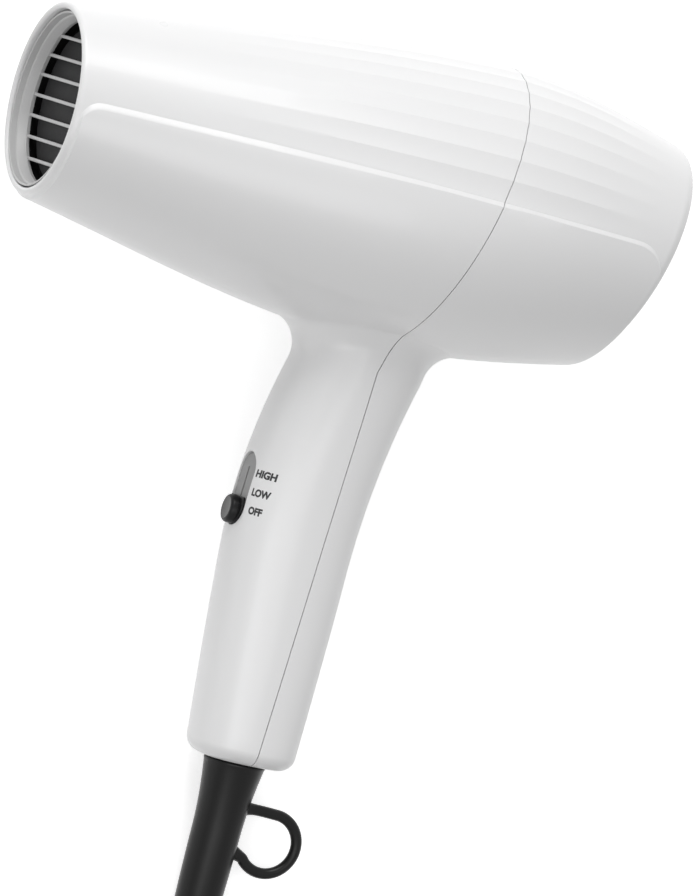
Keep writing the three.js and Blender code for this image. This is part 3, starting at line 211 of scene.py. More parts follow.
def outward(obj):
    """Turns a closed mesh's faces outwards."""
    shape = bmesh.new()
    shape.from_mesh(obj.data)
    if shape.calc_volume(signed=True) < 0:
        bmesh.ops.reverse_faces(shape, faces=shape.faces)
    shape.to_mesh(obj.data)
    shape.free()
    return obj


def loft(name, rings):
    """Skins rings of equal length into a closed body whose ends are fans."""
    rings = np.asarray(rings, float)
    count, size = rings.shape[:2]
    points = [*rings.reshape(-1, 3), rings[0].mean(0), rings[-1].mean(0)]
    faces = []
    for r in range(count - 1):
        for i in range(size):
            j = (i + 1) % size
            faces.append((r * size + i, r * size + j, (r + 1) * size + j, (r + 1) * size + i))
    last = (count - 1) * size
    for i in range(size):
        j = (i + 1) % size
        faces.append((j, i, count * size))
        faces.append((last + i, last + j, count * size + 1))
    return outward(mesh_piece(name, points, faces))


def extruded(name, first, last):
    """A closed body between two outlines of as many points."""
    size = len(first)
    faces = [tuple(range(size - 1, -1, -1)), tuple(range(size, 2 * size))]
    faces += [(i, (i + 1) % size, size + (i + 1) % size, size + i) for i in range(size)]
    return outward(mesh_piece(name, first + last, faces))


def prism(name, outline, low, high):
    """Extrudes a side-view outline of (x, z) points across the body."""
    return extruded(name, [(x, low, z) for x, z in outline], [(x, high, z) for x, z in outline])


def turned(name, outline, segments):
    """Turns an outline of (along, radius) points about the x axis; an end off the axis is closed by a disc."""
    angles = np.arange(segments) / segments * 2 * math.pi
    rings = [[(along, radius * math.sin(a), radius * math.cos(a)) for a in angles] for along, radius in outline]
    return loft(name, rings)


def hoop(name, outline, segments):
    """Turns a closed outline of (along, radius) points about the x axis into a ring."""
    size = len(outline)
    points = []
    for k in range(segments):
        a = k / segments * 2 * math.pi
        points += [(along, radius * math.sin(a), radius * math.cos(a)) for along, radius in outline]
    faces = []
    for k in range(segments):
        for i in range(size):
            a, b = k * size + i, k * size + (i + 1) % size
            c, d = (k + 1) % segments * size + (i + 1) % size, (k + 1) % segments * size + i
            faces.append((a, b, c, d))
    return outward(mesh_piece(name, points, faces))


def carve(target, tool, operation="DIFFERENCE"):
    """Cuts, joins or intersects target with a closed tool, which is then removed."""
    only(target)
    step = target.modifiers.new("carve", "BOOLEAN")
    step.operation = operation
    step.object = tool
    step.solver = "MANIFOLD"
    before = len(target.data.vertices)
    bpy.ops.object.modifier_apply(modifier=step.name)
    if len(target.data.vertices) == before:
        raise RuntimeError(f"{tool.name} left {target.name} as it was")
    bpy.data.objects.remove(tool)
    return target


def primitive(operator, name, **settings):
    """Adds a primitive with nothing else selected, and names it."""
    deselect()
    operator(**settings)
    obj = bpy.context.active_object
    obj.name = name
    obj.data.name = name
    return obj


def apply_place(obj):
    """Moves an object's place, turn and size into its mesh."""
    only(obj)
    bpy.ops.object.transform_apply(location=True, rotation=True, scale=True)
    return obj


def block(name, sides, place):
    """A box of these sides with its middle at this place."""
    box = primitive(bpy.ops.mesh.primitive_cube_add, name, size=1, location=place)
    box.scale = sides
    return apply_place(box)


def bevelled(obj, width, segments=2, angle=30):
    """Rounds an object's sharp edges with a Bevel modifier and applies it."""
    only(obj)
    step = obj.modifiers.new("soft edges", "BEVEL")
    step.width = width
    step.segments = segments
    step.limit_method = "ANGLE"
    step.angle_limit = angle * DEGREES
    step.use_clamp_overlap = True
    bpy.ops.object.modifier_apply(modifier=step.name)
    return obj


def finished(obj, finish, body, nodes=(), sharp=30):
    """Keeps a piece inside the CAD's box, shades it, and gives it its finish, body, nodes and slot."""
    corners = np.array([v.co for v in obj.data.vertices])
    obj.data.vertices.foreach_set("co", np.clip(corners, CAD_LOW, CAD_HIGH).ravel())
    obj.data.update()
    only(obj)
    bpy.ops.object.shade_smooth_by_angle(angle=sharp * DEGREES)
    obj.data.materials.clear()
    obj.data.materials.append(finish)
    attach(obj, body)
    if nodes:
        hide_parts(*nodes)
    deselect()
    return obj


def laid(obj, matrix=None):
    """Moves a mesh drawn in millimetres in the dryer's frame into the row frame."""
    obj.data.transform(row_matrix() if matrix is None else row_matrix() @ matrix)
    obj.data.update()
    return obj


def node_copy(node, name):
    """A merged copy of a CAD node's mesh as a new piece."""
    obj = bpy.data.objects.new(name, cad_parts[node].data.copy())
    bpy.context.scene.collection.objects.link(obj)
    shape = bmesh.new()
    shape.from_mesh(obj.data)
    bmesh.ops.remove_doubles(shape, verts=shape.verts, dist=1e-6)
    bmesh.ops.dissolve_limit(shape, angle_limit=1 * DEGREES, verts=shape.verts, edges=shape.edges)
    shape.to_mesh(obj.data)
    shape.free()
    return obj


# ---- finishes ----
def grain_group():
    """A node group that gives a moulded surface's grain: a height for its bump and a change of roughness."""
    found = bpy.data.node_groups.get("moulded grain")
    if found:
        return found
    group = bpy.data.node_groups.new("moulded grain", "ShaderNodeTree")
    group.interface.new_socket("Vector", in_out="INPUT", socket_type="NodeSocketVector")
    for name, value in (("Fine Scale", 900.0), ("Broad Scale", 30.0), ("Low", 0.25), ("High", 0.33)):
        group.interface.new_socket(name, in_out="INPUT", socket_type="NodeSocketFloat").default_value = value
    for name in ("Height", "Roughness", "Tint"):
        group.interface.new_socket(name, in_out="OUTPUT", socket_type="NodeSocketFloat")
    nodes, links = group.nodes, group.links
    inlet, outlet = nodes.new("NodeGroupInput"), nodes.new("NodeGroupOutput")
    fine, broad = nodes.new("ShaderNodeTexNoise"), nodes.new("ShaderNodeTexNoise")
    fine.inputs["Detail"].default_value = 3
    broad.inputs["Detail"].default_value = 2
    span = nodes.new("ShaderNodeMapRange")
    for noise, scale in ((fine, "Fine Scale"), (broad, "Broad Scale")):
        links.new(inlet.outputs["Vector"], noise.inputs["Vector"])
        links.new(inlet.outputs[scale], noise.inputs["Scale"])
    links.new(broad.outputs["Fac"], span.inputs["Value"])
    links.new(inlet.outputs["Low"], span.inputs["To Min"])
    links.new(inlet.outputs["High"], span.inputs["To Max"])
    links.new(fine.outputs["Fac"], outlet.inputs["Height"])
    links.new(span.outputs["Result"], outlet.inputs["Roughness"])
    links.new(broad.outputs["Fac"], outlet.inputs["Tint"])
    return group


def make_finish(name, colour, roughness, metallic=0.0, fine=900.0, broad=30.0, bump=0.02, spread=0.04, coat=0.0,
                tint=0.03, stretch=(1, 1, 1), specular=0.5):
    """A Principled finish with grain from the shared group, on Object coordinates."""
    material = bpy.data.materials.new(name)
    material.use_nodes = True
    nodes, links = material.node_tree.nodes, material.node_tree.links
    shader = nodes["Principled BSDF"]
    place, turn = nodes.new("ShaderNodeTexCoord"), nodes.new("ShaderNodeMapping")
    turn.inputs["Scale"].default_value = stretch
    grain = nodes.new("ShaderNodeGroup")
    grain.node_tree = grain_group()
    grain.inputs["Fine Scale"].default_value = fine
    grain.inputs["Broad Scale"].default_value = broad
    grain.inputs["Low"].default_value = roughness - spread
    grain.inputs["High"].default_value = roughness + spread
    bumps = nodes.new("ShaderNodeBump")
    bumps.inputs["Strength"].default_value = bump
    bumps.inputs["Distance"].default_value = 0.0002
    shades = nodes.new("ShaderNodeMix")
    shades.data_type = "RGBA"
    shades.inputs["A"].default_value = [c * (1 - tint) for c in colour[:3]] + [1]
    shades.inputs["B"].default_value = [min(1, c * (1 + tint)) for c in colour[:3]] + [1]
    links.new(place.outputs["Object"], turn.inputs["Vector"])
    links.new(turn.outputs["Vector"], grain.inputs["Vector"])
    links.new(grain.outputs["Tint"], shades.inputs["Factor"])
    links.new(shades.outputs["Result"], shader.inputs["Base Color"])
    links.new(grain.outputs["Roughness"], shader.inputs["Roughness"])
    links.new(grain.outputs["Height"], bumps.inputs["Height"])
    links.new(bumps.outputs["Normal"], shader.inputs["Normal"])
    shader.inputs["Metallic"].default_value = metallic
    shader.inputs["Coat Weight"].default_value = coat
    shader.inputs["Specular IOR Level"].default_value = specular
    return material


FINISHES = {}


def make_finishes():
    """Every finish of the dryer, by its slot's name."""
    pick = bpy.context.scene.dryer_finish
    FINISHES.update({
        "white_shell": make_finish("white shell", pick.shell, 0.3, bump=0.01, tint=0.006, coat=0.15),
        "grey_plastic": make_finish("grey plastic", pick.grey, 0.45, bump=0.05),
        "dark_plastic": make_finish("dark plastic", (0.035, 0.035, 0.037, 1), 0.5, bump=0.06),
        "black_plastic": make_finish("black plastic", pick.black, 0.35, bump=0.05, specular=0.2),
        "grey_button": make_finish("grey button", pick.grey, 0.4, bump=0.05),
        "red_button": make_finish("red button", (0.33, 0.025, 0.02, 1), 0.4, bump=0.05),
        "black_rubber": make_finish("black rubber", pick.rubber, 0.3, bump=0.1, fine=1400, tint=0.1, specular=0.22),
        "mica": make_finish("mica", (0.3, 0.25, 0.17, 1), 0.6, bump=0.2, fine=500, broad=120, tint=0.2),
        "steel": make_finish("zinc plate", (0.55, 0.56, 0.57, 1), 0.35, 1.0, bump=0.08, stretch=(1, 6, 1)),
        "resistance_wire": make_finish("resistance wire", (0.3, 0.29, 0.27, 1), 0.45, 1.0, bump=0.1),
        "brass": make_finish("brass", (0.75, 0.52, 0.2, 1), 0.28, 1.0, bump=0.05, stretch=(6, 1, 1)),
        "red_wire": make_finish("red wire", (0.33, 0.025, 0.02, 1), 0.5, bump=0.05),
        "white_wire": make_finish("white wire", (0.75, 0.73, 0.69, 1), 0.5, bump=0.05),
        "ink": make_finish("ink", pick.ink, 0.5, bump=0.02),
        # painted light: the grey plastic made 1.9 times lighter for the outlet's collar and bars and the switch's
        # tongue, to offset the shade inside the nozzle and in the slit
        "grey_painted_lighter": make_finish("grey painted lighter", [min(1, 1.9 * c) for c in pick.grey], 0.4, bump=0.05),
        # painted shade: the screen behind the bars is made near-black to stand for the shade deep in the nozzle
        "dark_screen_and_shade": make_finish("dark screen and shade", (0.022, 0.022, 0.023, 1), 0.6, bump=0.3, fine=2500, specular=0.15),
        # painted shadow: the near-black of the ring round the screen, for the shadow gap behind the bars
        "painted_shadow_black": make_finish("painted shadow black", (0.003, 0.003, 0.003, 1), 0.7, bump=0.1, specular=0.05),
        "knob_face": make_finish("knob face", (0.06, 0.06, 0.061, 1), 0.4, bump=0.08),
    })


CAD_SLOTS = {
    "switch_lever": "grey_plastic", "switch_body": "dark_plastic", "housing_screw_upper": "steel",
    "housing_screw_lower": "steel", "heater_tube": "mica", "heater_coil": "resistance_wire",
    "thermostat": "dark_plastic", "thermal_fuse": "steel", "mica_board_upright": "mica", "mica_board_level": "mica",
    "motor_mount": "dark_plastic", "motor": "steel", "motor_shaft": "steel", "rectifier_board": "dark_plastic",
    "fan": "dark_plastic", "lint_screen": "grey_plastic", "cord_clamp": "dark_plastic", "lead_line": "red_wire",
    "lead_neutral": "white_wire", "lead_heater": "red_wire",
}


# ---- shape of the barrel ----
def barrel_section(distance):
    """Middle height, half height and lean of the barrel's section at a distance from the nozzle's rim."""
    if distance < SEAM_DISTANCE:
        s = distance / SEAM_DISTANCE
        swell = SWELL_START * s + (3 - 2 * SWELL_START) * s * s + (SWELL_START - 2) * s**3
        radius = NOZZLE_RADIUS + (SEAM_RADIUS - NOZZLE_RADIUS) * swell
        return -SEAM_DROP * math.sin(math.pi / 2 * s), radius, SEAM_LEAN * s
    share = (distance - SEAM_DISTANCE) / (RIM_DISTANCE - SEAM_DISTANCE)
    fall = (SEAM_RADIUS - RIM_RADIUS) * (1 - math.cos(math.pi / 2 * share))
    return -SEAM_DROP - (RIM_DROP - SEAM_DROP) * share, SEAM_RADIUS - fall, SEAM_LEAN


def barrel_points(distance, angles, offsets):
    """Points of the barrel's skin; each angle runs from the top line round to the underside."""
    middle, radius, lean = barrel_section(distance)
    r = radius + np.broadcast_to(offsets, np.shape(angles))
    return np.stack([distance + r * np.cos(angles) * math.tan(lean), r * np.sin(angles),
                     middle + r * np.cos(angles)], -1)


CREASE_HEIGHT, CREASE_FALL, CREASE_FROM, CREASE_SPAN = 3.2, 3.5, 40.0, 136.0
PANEL_FRONT, PANEL_CORNER, PANEL_EDGE = 1.7, 6.0, 0.6
PANEL_REAR_FROM, PANEL_REAR, PANEL_REAR_DROP = 176.0, 189.2, 12.0
BAND_REAR = 0.68  # the bevel's height behind, as a share of its height in front
FLUTE_START, FLUTE_FULL, FLUTE_FADE = 30.0, 95.0, 150.0


def crease_height(distance):
    """Height of the lower panel's top edge: nearly level, with a rounded corner in front and a slope behind."""
    height = CREASE_HEIGHT - CREASE_FALL * max(0, (distance - CREASE_FROM) / CREASE_SPAN) ** 2
    into = PANEL_CORNER - np.clip(distance - PANEL_FRONT, 0, PANEL_CORNER)
    height -= PANEL_CORNER - math.sqrt(PANEL_CORNER**2 - into**2)
    past = np.clip((distance - PANEL_REAR_FROM) / (PANEL_REAR - PANEL_REAR_FROM), 0, 0.999)
    return height - PANEL_REAR_DROP * (1 - math.sqrt(1 - past * past))


FLUTE_COLUMNS = 10
BEVEL_PROFILE = ((0.0, -0.1), (0.12, -0.02), (0.2, 0.07), (0.5, 0.45), (0.8, 0.83), (0.92, 0.96), (1.0, 1.0))
LOWER_COLUMNS = 30


def barrel_side(distance, settings, beyond=0.0):
    """One side of a barrel ring: scallops above the crease, the bevel, then the proud lower panel.

    A ring of the rear shoulder is the rim's, carried this far beyond it.
    """
    middle, radius, _ = barrel_section(distance)
    crease = math.acos((crease_height(distance + beyond) - middle) / radius)
    band = settings.crease_band / radius * (1 - (1 - BAND_REAR) * smoothstep(60, 115, distance))
    rise = smoothstep(FLUTE_START, FLUTE_FULL, distance) * (1 - smoothstep(FLUTE_FADE, RIM_DISTANCE, distance))
    panel = np.clip((distance - PANEL_FRONT) / PANEL_EDGE, 0, 1)
    panel *= np.clip((PANEL_REAR - distance - beyond) / PANEL_EDGE, 0, 1)
    count = round(FLUTE_COLUMNS * settings.flutes_per_side)
    u = np.arange(count + 1) / FLUTE_COLUMNS
    t = (u + 0.5) % 1
    angles = list(crease * u / settings.flutes_per_side)
    offsets = list(-settings.flute_depth * rise * 4 * t * (1 - t))
    for share, height in BEVEL_PROFILE[1:]:
        angles.append(crease + band * share)
        offsets.append(settings.crease_step * height * panel)
    low = crease + band
    for i in range(1, LOWER_COLUMNS + 1):
        angles.append(low + (math.pi - low) * i / LOWER_COLUMNS)
        offsets.append(settings.crease_step * panel)
    return np.array(angles), np.array(offsets)


def mirrored(side):
    """A whole ring from one side of it."""
    back = side[-2:0:-1] * (1, -1, 1)
    return np.concatenate([side, back])


FACE_NORMAL = np.array([math.cos(SEAM_LEAN), 0, -math.sin(SEAM_LEAN)])
RIM_TAPER = math.atan2((SEAM_RADIUS - RIM_RADIUS) * math.pi / 2, RIM_DISTANCE - SEAM_DISTANCE)
CENTRE_FALL = math.atan2(RIM_DROP - SEAM_DROP, RIM_DISTANCE - SEAM_DISTANCE)


def shoulder_ring(share, settings):
    """The rim's ring carried inwards and rearwards round the rear shoulder."""
    rise = math.sin(RIM_TAPER + (math.pi / 2 - RIM_TAPER) * share) - math.sin(RIM_TAPER)
    angles, offsets = barrel_side(RIM_DISTANCE, settings, SHOULDER_RADIUS * rise)
    start = RIM_TAPER - (SEAM_LEAN - CENTRE_FALL) * np.cos(angles)
    turn = start + (math.pi / 2 - start) * share
    inward = SHOULDER_RADIUS * (np.cos(start) - np.cos(turn))
    rearward = SHOULDER_RADIUS * (np.sin(turn) - np.sin(start))
    return mirrored(barrel_points(RIM_DISTANCE, angles, offsets - inward) + FACE_NORMAL * rearward[:, None])


def face_matrix(settings):
    """The rear face's own frame: x out of the face, at the middle of the shoulder's last ring."""
    middle = shoulder_ring(1, settings).mean(0)
    return Matrix.Translation(Vector(middle)) @ Matrix.Rotation(SEAM_LEAN, 4, "Y")


def barrel_body(settings):
    """The barrel's skin as one closed body, with a full round lip."""
    rings = []
    for i in range(10):
        turn = math.pi / 2 * i / 10
        angles, _ = barrel_side(0, settings)
        edge = settings.lip_round
        rings.append(mirrored(barrel_points(edge * (1 - math.cos(turn)), angles, -edge * (1 - math.sin(turn)))))
    front = [edge, 1.45, 1.8, 1.95, 2.1, 2.3, 2.7, 3.2, 3.8, 4.5, 5.3, 6.2]
    front += list(np.linspace(8, 176, 85)) + list(np.linspace(178, RIM_DISTANCE, 9))
    for distance in front:
        rings.append(mirrored(barrel_points(distance, *barrel_side(distance, settings))))
    rings += [shoulder_ring(share, settings) for share in np.linspace(0, 1, 25)[1:]]
    return loft("barrel skin", rings)


def barrel_hollow(inset, edge):
    """The air passage, drawn inset from the skin, with a rounded mouth at the nozzle."""
    angles = np.arange(96) / 96 * 2 * math.pi
    rings = [barrel_points(0, angles, -edge - 0.05) + (-2, 0, 0)]
    for i in range(9):
        turn = math.pi / 2 * i / 8
        rings.append(barrel_points(edge * (1 - math.cos(turn)) + 0.001 * i, angles,
                                   -edge - 0.05 - (inset - edge - 0.05) * math.sin(turn)))
    for distance in [*np.linspace(6, SEAM_DISTANCE, 18), 146, 164, RIM_DISTANCE - END_WALL]:
        rings.append(barrel_points(distance, angles, -inset))
    return loft("air passage", rings)


# ---- shape of the handle ----
def handle_section(height):
    rise = min(height, HANDLE_NECK) - HANDLE_BOTTOM
    bend = max(0, rise - HANDLE_RISE)
    centre = HANDLE_CENTRE - HANDLE_LEAN * rise + HANDLE_SWEEP * bend * bend
    across = GRIP_LOWER + GRIP_GAIN * math.sin(math.pi / 2 * min(1, rise / GRIP_SPAN))
    return centre, across, GRIP_THICKNESS + GRIP_THICKEN * min(1, rise / GRIP_THICKEN_SPAN)


def handle_point(height, angle, inset=0.0):
    """A point of the grip's skin and its outward normal; pi is the front, where the switch is."""
    centre, across, half = handle_section(height)
    c, s = math.cos(angle), math.sin(angle)
    power = 2 / GRIP_SQUARENESS
    x = across * math.copysign(abs(c) ** power, c)
    y = half * math.copysign(abs(s) ** power, s)
    normal = np.array([math.copysign(abs(c) ** (2 - power), c) / across,
                       math.copysign(abs(s) ** (2 - power), s) / half, 0])
    normal /= np.linalg.norm(normal)
    return np.array([centre + x, y, height]) - normal * inset, normal


FILLET_SINK = 0.25
FILLET_STEPS, GRIP_STEPS, CORNER_STEPS = 18, 46, 9


def underside_gap(ball, settings):
    """How far a point below the barrel is from its underside, and the nearest point there."""
    distance, angle, reach = float(ball[0]), math.pi - 0.3, 24.0
    best = None
    for _ in range(7):
        for d in np.linspace(distance - reach, distance + reach, 11):
            angles = np.clip(angle + np.linspace(-reach, reach, 11) / 45, math.pi / 2, math.pi)
            points = barrel_points(d, angles, settings.crease_step)
            gaps = np.linalg.norm(points - (ball[0], abs(ball[1]), ball[2]), axis=1)
            k = int(gaps.argmin())
            if best is None or gaps[k] < best[0]:
                best = gaps[k], points[k] * (1, math.copysign(1, ball[1]), 1), d, angles[k]
        distance, angle = best[2], best[3]
        reach /= 3
    return best[0], best[1]


def handle_normal(height, angle):
    """The grip's outward normal, tipped by the slope of its sweep."""
    (above, normal), (below, _) = handle_point(height + 0.5, angle), handle_point(height - 0.5, angle)
    slope = above - below
    tipped = np.array([normal[0], normal[1], -(normal[0] * slope[0] + normal[1] * slope[1])])
    return tipped / np.linalg.norm(tipped)


def handle_column(angle, settings):
    """One upright line of the skin: corner, grip, then the arc of a ball rolled round the neck."""
    points = []
    for turn in np.linspace(0, math.pi / 2, CORNER_STEPS + 1):
        inset = HANDLE_CORNER * (1 - math.sin(turn))
        height = HANDLE_BOTTOM + HANDLE_CORNER * (1 - math.cos(turn))
        points.append(handle_point(height, angle, inset)[0])
    fillet = settings.neck_fillet
    low, high = -SEAM_RADIUS - 2 * fillet - 14, -SEAM_RADIUS - 2.0
    for _ in range(15):
        start_at = (low + high) / 2
        normal = handle_normal(min(start_at, HANDLE_NECK), angle)
        ball = handle_point(start_at, angle)[0] + normal * fillet
        gap, touch = underside_gap(ball, settings)
        inside = -ball[2] < SEAM_RADIUS * 0.8
        if gap < fillet - FILLET_SINK or inside:
            high = start_at
        else:
            low = start_at
    low = HANDLE_BOTTOM + HANDLE_CORNER
    points += [handle_point(low + (start_at - low) * i / GRIP_STEPS, angle)[0] for i in range(1, GRIP_STEPS)]
    start = -normal
    end = (touch - ball) / np.linalg.norm(touch - ball)
    spread = math.acos(np.clip(start @ end, -1, 1))
    for i in range(FILLET_STEPS + 1):
        share = i / FILLET_STEPS
        way = (start * math.sin((1 - share) * spread) + end * math.sin(share * spread)) / math.sin(spread)
        points.append(ball + way * fillet)
    points.append(ball + end * (fillet + WALL))
    return points


def handle_body(settings):
    columns = np.array([handle_column(a, settings) for a in np.arange(104) / 104 * 2 * math.pi])
    return loft("handle skin", columns.transpose(1, 0, 2))


def handle_hollow(inset):
    levels = np.linspace(HANDLE_BOTTOM + inset, -SEAM_DROP - 25, 14)
    rings = [[handle_point(z, a, inset)[0] for a in np.arange(48) / 48 * 2 * math.pi] for z in levels]
    return loft("handle hollow", rings)


# ---- the joint between the housings ----
def seam_at(height):
    return SEAM_DISTANCE + (height + SEAM_DROP) * math.tan(SEAM_LEAN)


def handle_seam_at(height):
    top = seam_at(SEAM_HEIGHT_LOW) - HANDLE_SEAM_STEP
    return top + (height - HANDLE_NECK) * HANDLE_SEAM_SLOPE


def seam_line(shift):
    places = [(seam_at(260), 260), (seam_at(SEAM_HEIGHT_LOW), SEAM_HEIGHT_LOW),
              (handle_seam_at(HANDLE_NECK), HANDLE_NECK), (handle_seam_at(-260), -260)]
    return [(x + shift, z) for x, z in places]


def switch_matrix():
    """The switch's own frame: x inwards from the grip's front, z along the slide."""
    upper = handle_point(SLOT_TOP, math.pi)[0]
    lower = handle_point(SLOT_TOP - SLOT_LENGTH, math.pi)[0]
    lean = math.atan2(upper[0] - lower[0], SLOT_LENGTH)
    place = handle_point(SLOT_TOP - SLOT_LENGTH / 2, math.pi)[0]
    return Matrix.Translation(Vector(place)) @ Matrix.Rotation(lean, 4, "Y")


def stadium(name, width, length, low, high):
    """A plate with round ends, its thickness along x and its length along z."""
    straight = (length - width) / 2
    outline = []
    for i in range(33):
        a = math.pi * i / 32
        outline.append((width / 2 * math.cos(a), straight + width / 2 * math.sin(a)))
    outline += [(-y, -z) for y, z in outline]
    return extruded(name, [(low, y, z) for y, z in outline], [(high, y, z) for y, z in outline])


def rod(name, low, high, radius, centre=(0, 0, 0), segments=48, along="X"):
    """A cylinder for cutting and joining, from low to high along an axis through centre."""
    turns = {"X": (0, math.pi / 2, 0), "Y": (math.pi / 2, 0, 0), "Z": (0, 0, 0)}
    middle = Vector(centre)
    middle["XYZ".index(along)] += (low + high) / 2
    obj = primitive(bpy.ops.mesh.primitive_cylinder_add, name, vertices=segments, radius=radius, depth=high - low,
                    location=middle, rotation=turns[along])
    return apply_place(obj)


def moved(obj, matrix):
    obj.data.transform(matrix)
    return obj


# ---- routes ----
def smooth_route(points, steps):
    """A centripetal curve through the given points, as steps + 1 points."""
    p = np.asarray(points, float)
    p = np.vstack([2 * p[0] - p[1], p, 2 * p[-1] - p[-2]])
    route = []
    spans = len(p) - 3
    for i in range(steps + 1):
        place = min(i / steps * spans, spans - 1e-9)
        k, t = int(place), place - int(place)
        a, b, c, d = p[k:k + 4]
        before, along, after = (max(np.linalg.norm(v), 1e-9) ** 0.5 for v in (b - a, c - b, d - c))
        start = ((b - a) / before - (c - a) / (before + along) + (c - b) / along) * along
        end = ((c - b) / along - (d - b) / (along + after) + (d - c) / after) * along
        route.append(b + start * t + (3 * (c - b) - 2 * start - end) * t**2 + (2 * (b - c) + start + end) * t**3)
    return np.array(route)


def tube(name, route, radius, sides=16, up=(0, 0, 1)):
    """A round tube along a route; radius may change from point to point."""
    route = np.asarray(route, float)
    radii = np.broadcast_to(radius, len(route))
    along = np.gradient(route, axis=0)
    along /= np.linalg.norm(along, axis=1)[:, None]
    side = np.cross(along, up)
    side /= np.linalg.norm(side, axis=1)[:, None]
    top = np.cross(side, along)
    angles = np.arange(sides) / sides * 2 * math.pi
    rings = (route[:, None] + radii[:, None, None] * (side[:, None] * np.cos(angles)[None, :, None]
                                                      + top[:, None] * np.sin(angles)[None, :, None]))
    return loft(name, rings)


def cord_exit():
    """The cord's exit point and direction, in millimetres in the row frame."""
    hang = RELIEF_LENGTH + CLEARANCE
    leave = to_row([RELIEF_CENTRE - RELIEF_LEAN * hang, 0, HANDLE_BOTTOM - hang]) * 1000
    top = to_row([RELIEF_CENTRE, 0, HANDLE_BOTTOM]) * 1000
    return leave, (leave - top) / np.linalg.norm(leave - top)


def cord_route():
    """The cord's centreline from the strain relief through its coil to the plug, in millimetres."""
    leave, away = cord_exit()
    radius = CORD_DIAMETER / 2
    outer = COIL_INNER + COIL_PITCH * COIL_TURNS
    middle = np.array([leave[0] + outer + 4, leave[1] - 62, 0])
    low = radius + COIL_LIFT
    meet = middle + (-outer, CORD_DIAMETER, low)
    lead = smooth_route([
        leave, leave + away * CORD_DIAMETER,
        (leave[0] + 1.2, leave[1] - 22, radius + 0.8), (leave[0] + 2.6, leave[1] - 32, radius + 0.1),
        (leave[0] + 3.8, leave[1] - 42, radius + 0.3),
        meet + (0, CLEARANCE + CORD_DIAMETER, 0), meet + (0, CLEARANCE, 0),
    ], 36)
    turns = []
    for i in range(int((2 * COIL_TURNS + 0.5) * 36) + 1):
        turn = i / 36
        climb = min(1, max(0, (turn - COIL_TURNS) / 0.5))
        spiral = max(COIL_TURNS - turn, turn - COIL_TURNS - 0.5, 0)
        r = COIL_INNER + COIL_PITCH * spiral - COIL_DIP * math.sin(math.pi * climb)
        a = math.pi + 2 * math.pi * turn
        turns.append(middle + (r * math.cos(a), r * math.sin(a), low + COIL_PITCH * smoothstep(0, 1, climb)))
    end = turns[-1]
    tail = []
    for share in np.linspace(0.08, 1, 14):
        rise = (PLUG_HEIGHT / 2 - end[2]) * smoothstep(0.05, 0.85, share)
        tail.append(end + (0, -TAIL_LENGTH * share, rise))
    return np.vstack([lead, turns, tail]), tail[-1]


# ---- finer CAD pieces ----
def finer(node, name, finish, body, width=0.0004, segments=2, angle=35):
    """A copy of a CAD node with its edges rounded, standing for that node."""
    obj = bevelled(node_copy(node, name), width, segments, angle)
    return finished(obj, finish, body, [node], sharp=40)


